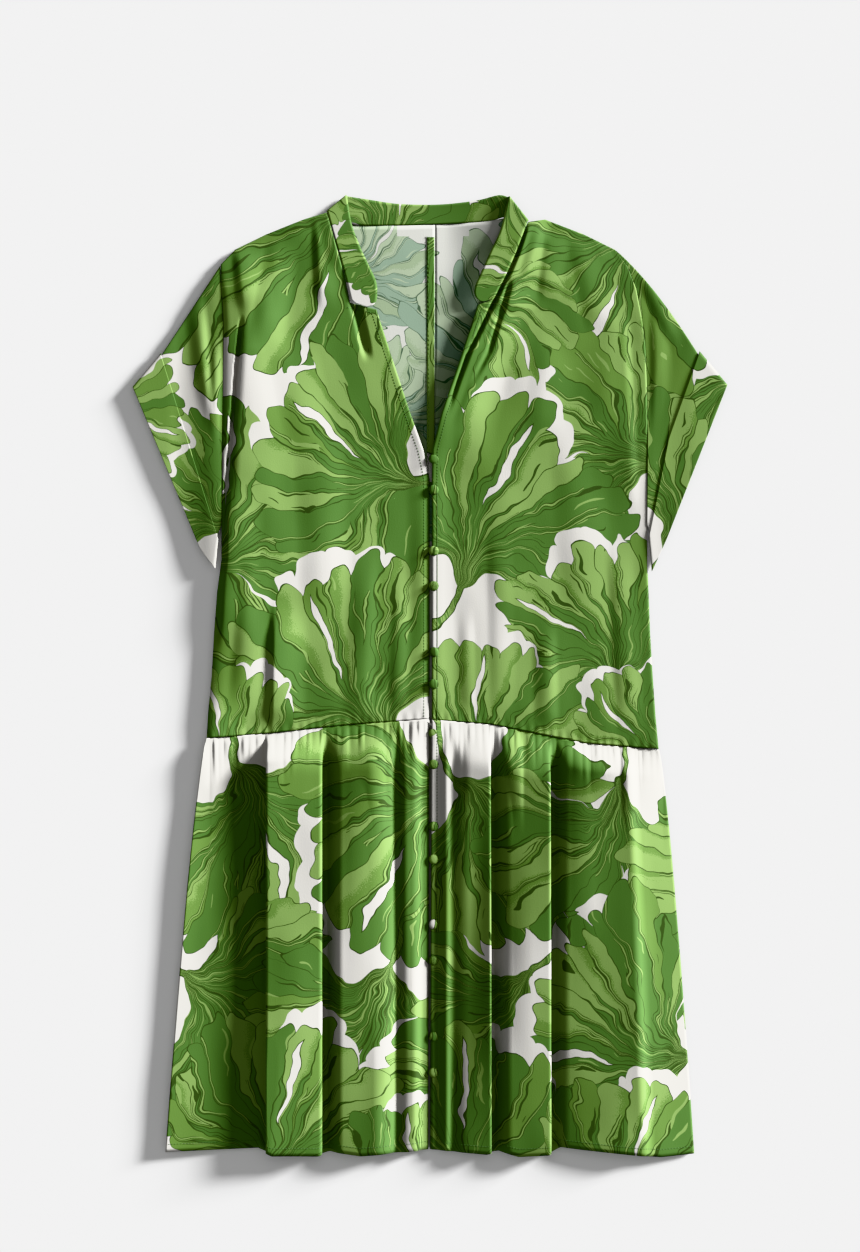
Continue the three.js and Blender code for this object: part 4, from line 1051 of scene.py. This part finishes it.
def makeSleeve(side, name, node, material):
    shape = sleeve[side]
    sign = np.sign(shape["head"][0])
    armhole = [(x + sign * cloth["gap"] / 2, y) for x, y, _, _ in bodice[side][:shape["underarm"] + 1]]
    armhole[0] = shape["head"]
    armhole = np.array(armhole)
    target = pointsAlong(shape["end"], np.linspace(0, 1, len(armhole)))
    (ax, ay), (bx, by) = shape["cuffInner"][0], shape["cuffInner"][-1]
    length = math.hypot(bx - ax, by - ay)

    def lift(x, y):
        before = sign * ((x - ax) * (by - ay) - (y - ay) * (bx - ax)) / length
        return sleeve["lift"] * (1 - smooth((before - sleeve["liftStart"]) / sleeve["liftReach"]))

    def low(x, y):
        return lift(x, y) + standOff(x, y)

    def high(x, y):
        up = lift(x, y)
        creases = foldRise(shape["folds"], x, y) + softWaves(x, y, sleeve["unevenness"])
        creases = np.maximum(creases, -sleeve["dip"]) * smooth(1 - up / sleeve["lift"])
        return cloth["frontZ"] + low(x, y) + creases

    fromHead = runOf(armhole)[:, None] / sleeve["crownReach"]
    outwardDirection = np.array([sign, 1.0]) * shape["crown"] / math.sqrt(2)
    quicker, early = sleeve["crownRun"]

    def lines(t):
        crown = outwardDirection * smooth(1 - fromHead) * math.sin(math.pi * min(1.0, t * quicker) ** early)
        return mix(armhole, target, t) + crown

    obj = flattenedTube(name, lines, low, high, cloth["thickness"], material)
    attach(obj, "root")
    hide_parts(node)
    return obj


def makeCuff(side, name, node, material):
    # the doubled cloth goes all round the end of the sleeve
    shape = sleeve[side]
    shares = np.linspace(0, 1, sleeve["cuffPoints"])
    first, last = pointsAlong(shape["cuffInner"], shares), pointsAlong(shape["cuffOuter"], shares)
    top = cloth["frontZ"] + 2 * sleeve["lift"]

    def lines(t):
        return mix(first, last, t)

    def high(x, y):
        return top + standOff(x, y) + softWaves(x, y, sleeve["cuffUnevenness"]) - sleeve["cuffPressed"]

    obj = flattenedTube(name, lines, standOff, high, sleeve["cuffWall"], material)
    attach(obj, "root")
    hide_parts(node)
    return obj


bandShape = {
    "thickness": 0.9,
    "turn": 1.15,
    "stepsPerRow": 9,
    "turnSteps": 10,
    "across": 14,  # points across each face of the band, and round each of its long edges
    "edgeSteps": 5,
    "lowest": 0.1,
    # free edge x, y, sewn edge x, y and the height of the band's middle, from its free end at the left
    "frontLeft": [
        (52.5, 373.6, 57, 374.6, 10.0), (47.6, 375.3, 60.5, 375.6, 10.0), (44, 381, 63.2, 376.6, 10.0),
        (44.5, 389, 69, 388, 10.1), (51, 404, 75.2, 400.2, 10.3), (60, 424, 84.2, 420.2, 10.6),
        (70, 446, 90.4, 436.2, 10.8), (77.5, 478, 96.9, 453.4, 10.9),
    ],
    "back": [
        (77.5, 478, 96.9, 453.4, 8.6), (67.5, 480, 76, 458, 7.0), (45, 475, 57.5, 454.3, 3.9),
        (8.5, 471.4, 15.5, 451.7, 1.5), (-31.5, 472, -33.5, 450.3, 1.0), (-60, 476, -78.5, 451.3, 1.4),
        (-83.5, 479.5, -103.2, 463.3, 2.6),
    ],
    "frontRight": [
        (-83.5, 479.5, -103.2, 463.3, 4.9), (-78.5, 451, -95.7, 436.2, 5.4),
        (-69.5, 427, -90.4, 417.2, 6.2), (-61.5, 410, -87.2, 405.2, 6.8), (-54, 393, -83.7, 391.2, 7.2),
        (-53.5, 377, -80.2, 377.4, 7.2), (-57, 370.6, -78.6, 375.4, 7.2), (-63, 368.6, -75, 372.6, 7.2),
    ],
}


def curveThrough(table, steps):
    # a smooth run through the rows of a table
    table = np.array(table, dtype=float)
    padded = np.concatenate([[2 * table[0] - table[1]], table, [2 * table[-1] - table[-2]]])
    rows = []
    for k in range(1, len(padded) - 2):
        a, b, c, d = padded[k - 1:k + 3]
        for t in np.arange(steps) / steps:
            rows.append(0.5 * (2 * b + (c - a) * t + (2 * a - 5 * b + 4 * c - d) * t**2
                               + (3 * b - a - 3 * c + d) * t**3))
    return np.array(rows + [table[-1]])


def makeCollarBand(material):
    # one strip: it lies on the left front, turns over behind the neck and turns back on the right front
    half = bandShape["thickness"] / 2
    across, edge = bandShape["across"], bandShape["edgeSteps"]
    width = np.linspace(0, 1, across)
    around = np.linspace(math.pi, 0, edge + 2)[1:-1]
    sides = np.concatenate([np.ones(across), -np.cos(around), -np.ones(across), np.cos(around)])
    sections, maps, travelled = [], [], 0.0

    def section(row, out, shift):
        free, seam = np.array(row[:2]), np.array(row[2:4])
        reach = max(np.hypot(*(seam - free)), 0.1)
        inset = half / reach
        shares = np.concatenate([width, 1 + (np.sin(around) - 1) * half / reach, width[::-1],
                                 (1 - np.sin(around)) * half / reach])
        shares = np.clip(shares, 0, 1) * (1 - 2 * inset) + inset
        shares[across:across + edge] += inset * np.sin(around)
        shares[-edge:] -= inset * np.sin(around)
        plan = free + (seam - free) * shares[:, None]
        points = np.column_stack([plan, np.full(len(plan), row[4])]) + shift
        return points + np.outer(sides * half, out), shares * reach

    def addSection(row, out, shift=(0, 0, 0)):
        nonlocal travelled
        points, mapped = section(row, np.array(out, dtype=float), np.array(shift, dtype=float))
        if sections:
            travelled += np.linalg.norm(points.mean(axis=0) - sections[-1].mean(axis=0))
        sections.append(points)
        maps.append(np.column_stack([np.full(len(mapped), travelled), mapped]))

    def turnOver(row, upwards):
        away = np.array([row[3] - row[1], row[0] - row[2], 0.0])
        away *= np.sign(away[1]) / np.linalg.norm(away)
        level = (*row[:4], row[4] + bandShape["turn"])
        for i in range(1, bandShape["turnSteps"]):
            swing = math.pi * (i / bandShape["turnSteps"] - 0.5) * (1 if upwards else -1)
            radial = away * math.cos(swing) + np.array([0, 0, math.sin(swing)])
            addSection(level, -radial, radial * bandShape["turn"])

    def lay(stretch, facing):
        for row in curveThrough(bandShape[stretch], bandShape["stepsPerRow"]):
            addSection(row, (0, 0, facing))

    lay("frontLeft", -1)
    turnOver(bandShape["back"][0], False)
    lay("back", 1)
    turnOver(bandShape["back"][-1], True)
    lay("frontRight", -1)
    sections, maps = np.array(sections), np.array(maps)
    rows, ring = sections.shape[:2]
    sections[..., 2] = np.maximum(sections[..., 2], bandShape["lowest"])
    caps = [list(range(ring))[::-1], [(rows - 1) * ring + j for j in range(ring)]]
    faces = faceGrid(rows, ring, 0, False, True).tolist() + caps
    obj = makeMesh("collarBand", sections.reshape(-1, 3), faces, maps.reshape(-1, 2), material)
    outwards(obj)
    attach(obj, "root")
    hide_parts("collar_band")
    return obj


def outwards(obj):
    # faces point out of a closed shell
    shape = bmesh.new()
    shape.from_mesh(obj.data)
    bmesh.ops.recalc_face_normals(shape, faces=shape.faces)
    shape.to_mesh(obj.data)
    shape.free()


buttons = {
    "radius": 5.0,
    "height": 3.3,
    "x": 3.2,
    "z": 4.0,
    "levels": [217, 186, 125, 90, 24, -8, -57, -88, -150, -183, -248, -284, -360, -396],
    "profile": [(0, 0.0), (0.62, 0.0), (0.84, 0.06), (0.97, 0.22), (1.0, 0.42), (0.95, 0.62), (0.82, 0.81),
                (0.62, 0.92), (0.38, 0.985), (0.16, 1.0), (0, 1.0)],
    "sides": 24,
    "pleats": 0.035,  # how far the cloth's tiny pleats stand out at the rim, as a share of the radius
    "pleatsFrom": 0.9,
}


def ringMesh(name, rings):
    # a smooth closed shape through rings of points, where a ring of one point is a tip
    shape = bmesh.new()
    rings = [[shape.verts.new([c * millimetre for c in point]) for point in ring] for ring in rings]
    for a, b in zip(rings[:-1], rings[1:]):
        for k in range(max(len(a), len(b))):
            corners = [a[k % len(a)], a[(k + 1) % len(a)], b[(k + 1) % len(b)], b[k % len(b)]]
            shape.faces.new(list(dict.fromkeys(corners)))
    for ring in (rings[0], rings[-1]):
        if len(ring) > 1:
            shape.faces.new(ring)
    bmesh.ops.recalc_face_normals(shape, faces=shape.faces)
    mesh = bpy.data.meshes.new(name)
    shape.to_mesh(mesh)
    shape.free()
    mesh.polygons.foreach_set("use_smooth", np.ones(len(mesh.polygons), dtype=bool))
    return mesh


def buttonMesh():
    # a domed button with cloth gathered round its rim
    rings = []
    for share, level in buttons["profile"]:
        ring = []
        for k in range(buttons["sides"] if share else 1):
            turn = 2 * math.pi * k / buttons["sides"]
            pleat = math.cos(turn * buttons["sides"] / 2) * (share > buttons["pleatsFrom"])
            radius = buttons["radius"] * share * (1 + buttons["pleats"] * pleat)
            ring.append((radius * math.cos(turn), radius * math.sin(turn), level * buttons["height"]))
        rings.append(ring)
    return ringMesh("coveredButton", rings)


def makeRepeatTree(name, alongPath):
    # instances of one object on points, or along a path at a pitch, turned to follow it
    tree = bpy.data.node_groups.new(name, "GeometryNodeTree")
    tree.is_modifier = True
    tree.interface.new_socket("Geometry", in_out="INPUT", socket_type="NodeSocketGeometry")
    sockets = {}
    for label, kind in (("Shape", "Object"), ("Finish", "Material"), ("Pitch", "Float")):
        sockets[label] = tree.interface.new_socket(label, in_out="INPUT", socket_type="NodeSocket" + kind)
    tree.interface.new_socket("Geometry", in_out="OUTPUT", socket_type="NodeSocketGeometry")
    inlet = addNode(tree, "NodeGroupInput").outputs
    outlet = addNode(tree, "NodeGroupOutput")
    shape = addNode(tree, "GeometryNodeObjectInfo", links={"Object": inlet["Shape"]}).outputs["Geometry"]
    repeat = addNode(tree, "GeometryNodeInstanceOnPoints", links={"Instance": shape})
    if alongPath:
        path = addNode(tree, "GeometryNodeMeshToCurve", links={"Mesh": inlet["Geometry"]}).outputs["Curve"]
        spaced = addNode(tree, "GeometryNodeResampleCurve", {"mode": "LENGTH"}, {
            "Curve": path, "Length": inlet["Pitch"]}).outputs["Curve"]
        tangent = addNode(tree, "GeometryNodeInputTangent").outputs[0]
        turned = addNode(tree, "FunctionNodeAlignRotationToVector", {"axis": "X"}, {"Vector": tangent})
        tree.links.new(spaced, repeat.inputs["Points"])
        tree.links.new(turned.outputs[0], repeat.inputs["Rotation"])
    else:
        tree.links.new(inlet["Geometry"], repeat.inputs["Points"])
    real = addNode(tree, "GeometryNodeRealizeInstances", links={"Geometry": repeat.outputs[0]}).outputs[0]
    done = addNode(tree, "GeometryNodeSetMaterial", links={"Geometry": real, "Material": inlet["Finish"]})
    tree.links.new(done.outputs[0], outlet.inputs["Geometry"])
    return tree, {label: socket.identifier for label, socket in sockets.items()}


def grown(name, points, edges, shapeMesh, material, pitch=0.0):
    # the repeated shape made real as one mesh
    pattern = put(name + "Pattern", shapeMesh)
    guide = bpy.data.meshes.new(name + "Guide")
    guide.from_pydata((np.array(points) * millimetre).tolist(), edges, [])
    host = put(name + "Host", guide)
    tree, names = makeRepeatTree(name + "Repeat", bool(edges))
    modifier = host.modifiers.new("repeat", "NODES")
    modifier.node_group = tree
    modifier[names["Shape"]] = pattern
    modifier[names["Finish"]] = material
    modifier[names["Pitch"]] = pitch * millimetre
    evaluated = host.evaluated_get(bpy.context.evaluated_depsgraph_get())
    mesh = bpy.data.meshes.new_from_object(evaluated)
    mesh.name = name
    obj = put(name, mesh)
    host.modifiers.clear()
    for spare in (host, pattern):
        bpy.data.objects.remove(spare, do_unlink=True)
    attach(obj, "root")
    return obj


stitch = {
    "pitch": 3.0, "length": 2.3, "radius": 0.26, "inset": 5.4,
    "sides": 6,
    # place along the stitch, girth and level: thicker in the middle, and both ends dip into the cloth
    "profile": [(-0.5, 0.35, -0.5), (-0.32, 0.9, 0.2), (0, 1.0, 0.5), (0.32, 0.9, 0.2), (0.5, 0.35, -0.5)],
    "top": (333, 376),  # the bodice is stitched below these levels of its outer and its inner edge
    "guidePoints": 120,
    "straight": (190, -42, 90),  # from, to and points of the left front's straight edge
    "edgeRow": 40,  # the row of the skirt on which its stitched column is looked up
    "stopsShort": 2,  # rows or columns from the end of the cloth
}


def stitchMesh():
    radius = stitch["radius"]
    turns = [2 * math.pi * k / stitch["sides"] for k in range(stitch["sides"])]
    return ringMesh("stitchShape", [
        [(place * stitch["length"], girth * radius * math.cos(turn),
          girth * radius * math.sin(turn) + level * radius) for turn in turns]
        for place, girth, level in stitch["profile"]])


def lineNormals(line):
    # unit vectors to the left of a line's run
    step = np.gradient(line, axis=0)
    normal = np.stack([-step[:, 1], step[:, 0]], axis=-1)
    return normal / np.linalg.norm(normal, axis=1, keepdims=True)


def lineAt(levels, inset):
    # the front edge of a bodice, moved in from its neck edge
    outerTop, innerTop = stitch["top"]
    line = np.array([(p[2], p[3]) for p in levels if p[1] <= outerTop and p[3] <= innerTop], dtype=float)
    normal = lineNormals(line)
    normal *= np.sign(normal[:, :1] * levels[0][0])
    return pointsAlong(line + normal * inset, np.linspace(0, 1, stitch["guidePoints"]))


def surfaceUnder(obj, plan):
    # the height of a finished piece below each point of a plan, in mm
    tree = BVHTree.FromObject(obj, bpy.context.evaluated_depsgraph_get())
    points = []
    for x, y in plan:
        hit = tree.ray_cast(Vector((x * millimetre, y * millimetre, 0.1)), Vector((0, 0, -1)))[0]
        if hit is not None:
            points.append((x, y, hit.z / millimetre))
    return points


def sewn(name, lines, material):
    # a row of stitches along each line
    points, edges = [], []
    for line in lines:
        start = len(points)
        points += line
        edges += [(start + i, start + i + 1) for i in range(len(line) - 1)]
    return grown(name, points, edges, stitchMesh(), material, stitch["pitch"])


allowance = {
    "width": 7.6, "thickness": 0.5, "z": 1.5, "from": 438.8, "to": 190, "points": 60, "across": 6,
    "beside": 0.5,  # from the seam
    "ripple": 0.25, "ripples": 9, "edgeStands": 0.1,
    "overlock": (0.3, 2.2, 2.1),  # its outer and inner points from the raw edge, and its step along
}


def makeAllowance(name, line, material):
    # a seam's overlocked allowance pressed to one side, inside the back
    line = np.array(line, dtype=float)
    across = np.linspace(0, 1, allowance["across"])
    plan = line[:, None] + lineNormals(line)[:, None] * across[None, :, None] * allowance["width"]
    ripple = allowance["ripple"] * np.sin(np.linspace(0, allowance["ripples"], len(line)))
    lift = ripple[:, None] * across + allowance["edgeStands"] * across
    upper = np.concatenate([plan, (allowance["z"] + lift)[..., None]], axis=-1)
    obj = sheetPiece(name, upper, plan, material, allowance["thickness"])
    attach(obj, "root")
    return obj


thread = {
    "color": "#4c7634", "roughness": 0.55, "sheen": 0.2,
    "paintedShade": 0.7,  # painted shade of the twisted plies, as a share of its colour
    "twist": (900.0, 2.0),  # scale and detail of the plies
    "tone": (0.3, 0.35),  # how much lighter they make it, and from what share
}


def spunThread(name):
    # polyester sewing thread with a slight sheen, and painted shade: darker in noise patches that stand for
    # its plies turning away from the light
    material, tree, shader = startMaterial(name)
    place = addNode(tree, "ShaderNodeTexCoord").outputs["Object"]
    twist = noise(tree, "3D", place, *thread["twist"])[0]
    color = linearColor(thread["color"])
    # painted shade of the plies: a darker copy of the thread's colour, mixed in by noise
    paintedShadeColor = [c * thread["paintedShade"] for c in color[:3]] + [1.0]
    tone = maths(tree, "MULTIPLY_ADD", twist, *thread["tone"])
    tree.links.new(mixColor(tree, tone, paintedShadeColor, color), shader["Base Color"])
    shader["Roughness"].default_value = thread["roughness"]
    shader["Sheen Weight"].default_value = thread["sheen"]
    return material


print("materials")
clothMaterials = {
    name: printedCrepe("printedCrepe" + name[0].upper() + name[1:], leafLayouts[name], rightSide,
                       roll=wedgeRolls.get(name, 0))
    for name in leafLayouts if name not in ("back", "covers")
}
wrongCrepe = printedCrepe("wrongSideCrepe", leafLayouts["back"], wrongSide, bareStrip)
buttonCrepe = printedCrepe("buttonCrepe", leafLayouts["covers"], rightSide, source="")
threadFinish = spunThread("polyesterThread")

print("bodice")
bodiceRight = makeBodiceFront(
    "right", "frontBodiceRight", "front_bodice_right", clothMaterials["frontBodiceRight"])
bodiceLeft = makeBodiceFront(
    "left", "frontBodiceLeft", "front_bodice_left", clothMaterials["frontBodiceLeft"])
backRight = makeBodiceBack("right", "backBodiceRight", "back_bodice_right", wrongCrepe)
backLeft = makeBodiceBack("left", "backBodiceLeft", "back_bodice_left", wrongCrepe)

print("skirt")
skirtRight = makeSkirtFront(
    "right", "skirtFrontRight", "skirt_front_right", clothMaterials["skirtRight"])
skirtLeft = makeSkirtFront(
    "left", "skirtFrontLeft", "skirt_front_left", clothMaterials["skirtLeft"])
skirtBack = makeSkirtBack("skirtBack", "skirt_back", wrongCrepe)

print("sleeves and cuffs")
sleeveRight = makeSleeve("right", "sleeveRight", "sleeve_right", clothMaterials["sleeveRight"])
sleeveLeft = makeSleeve("left", "sleeveLeft", "sleeve_left", clothMaterials["sleeveLeft"])
cuffRight = makeCuff("right", "cuffRight", "cuff_right", clothMaterials["sleeveRight"])
cuffLeft = makeCuff("left", "cuffLeft", "cuff_left", clothMaterials["sleeveLeft"])

print("collar band")
collarBand = makeCollarBand(clothMaterials["trim"])

print("buttons")
seats = [(buttons["x"], y, buttons["z"]) for y in buttons["levels"]]
coveredButtons = grown("coveredButtons", seats, [], buttonMesh(), buttonCrepe)
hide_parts(*[f"button_{i + 1:02d}" for i in range(len(seats))])

print("sewing")
levels = np.linspace(allowance["to"], allowance["from"], allowance["points"])
seamLine = [(cloth["centreBackX"] - allowance["beside"], y) for y in levels]
backAllowance = makeAllowance("backSeamAllowance", seamLine, clothMaterials["seam"])
overlock = []
outer, inner, along = allowance["overlock"]
for x, y in seamLine[::-1]:
    overlock += [(x - allowance["width"] + outer, y), (x - allowance["width"] + inner, y - along)]
overlocked = sewn("overlockStitching", [surfaceUnder(backAllowance, overlock)], threadFinish)
stitchedX = bodice["left"][-1][2] + stitch["inset"]
edgeLeft = [tuple(p) for p in lineAt(bodice["left"], stitch["inset"])]
edgeLeft += [(stitchedX, y) for y in np.linspace(*stitch["straight"])]
frontStitching = sewn("frontStitching", [
    surfaceUnder(bodiceLeft, edgeLeft),
    surfaceUnder(bodiceRight, lineAt(bodice["right"], stitch["inset"])),
], threadFinish)
hemLines = []
short = stitch["stopsShort"]
for side in ("right", "left"):
    x, y, z, _, drops = skirtGrid(side)
    surface = np.stack([x, y, z], axis=-1)
    row = int(np.argmin(np.abs(drops[:, 0] - drops[-1, 0] + skirt["hemTurn"])))
    hemLines.append(surface[row, short:-short].tolist())
    if side == "left":
        column = int(np.argmin(np.abs(x[stitch["edgeRow"]] - stitchedX)))
        hemLines.append(surface[:-short, column].tolist())
skirtStitching = sewn("skirtStitching", hemLines, threadFinish)

backgroundPaper = {"half": 3, "below": 0.0004, "color": "#f0f0f0", "roughness": 0.9}  # metres
corners = [(x * backgroundPaper["half"], y * backgroundPaper["half"], -backgroundPaper["below"])
           for x, y in ((-1, -1), (1, -1), (1, 1), (-1, 1))]
floor = bpy.data.meshes.new("studioFloor")
floor.from_pydata(corners, [], [(0, 1, 2, 3)])
paper, _, paperShader = startMaterial("mattBackgroundPaper")
paperShader["Base Color"].default_value = linearColor(backgroundPaper["color"])
paperShader["Roughness"].default_value = backgroundPaper["roughness"]
floor.materials.append(paper)
studioFloor = put("studioFloor", floor)

print("camera and light")
scene = bpy.context.scene
studio = {
    "camera": (-0.0005, 0.050, 3.478),  # metres, straight over the dress
    "lens": 100,
    "sensor": 36,
    "keyElevation": 14.5,
    "keyAzimuth": 26,  # degrees from the wearer's left towards the neck
    "keySoftness": 14,  # degrees that the soft box covers
    "keyStrength": 10.7,
    "fill": 0.19,
    "paperFill": 0.62,  # a light of its own for the background paper
    "paperSoftness": 90,
}
camera = put("camera", bpy.data.cameras.new("camera"))
camera.data.lens = studio["lens"]
camera.data.sensor_width = studio["sensor"]
camera.location = studio["camera"]
scene.camera = camera

key = put("softKey", bpy.data.lights.new("softKey", "SUN"))
key.data.angle = math.radians(studio["keySoftness"])
key.data.energy = studio["keyStrength"]
key.data.cycles.max_bounces = 0  # keeps the depth of the creases
key.rotation_euler = (0, math.radians(90 - studio["keyElevation"]), math.radians(studio["keyAzimuth"]))
paperLight = put("paperLight", bpy.data.lights.new("paperLight", "SUN"))
paperLight.data.angle = math.radians(studio["paperSoftness"])
paperLight.data.energy = studio["paperFill"]
paperLight.light_linking.receiver_collection = bpy.data.collections.new("paperOnly")
paperLight.light_linking.receiver_collection.objects.link(studioFloor)
world = scene.world or bpy.data.worlds.new("studio")
scene.world = world
world.use_nodes = True
world.node_tree.nodes["Background"].inputs["Color"].default_value = (1.0, 1.0, 1.0, 1.0)
world.node_tree.nodes["Background"].inputs["Strength"].default_value = studio["fill"]
scene.view_settings.view_transform = "Khronos PBR Neutral"
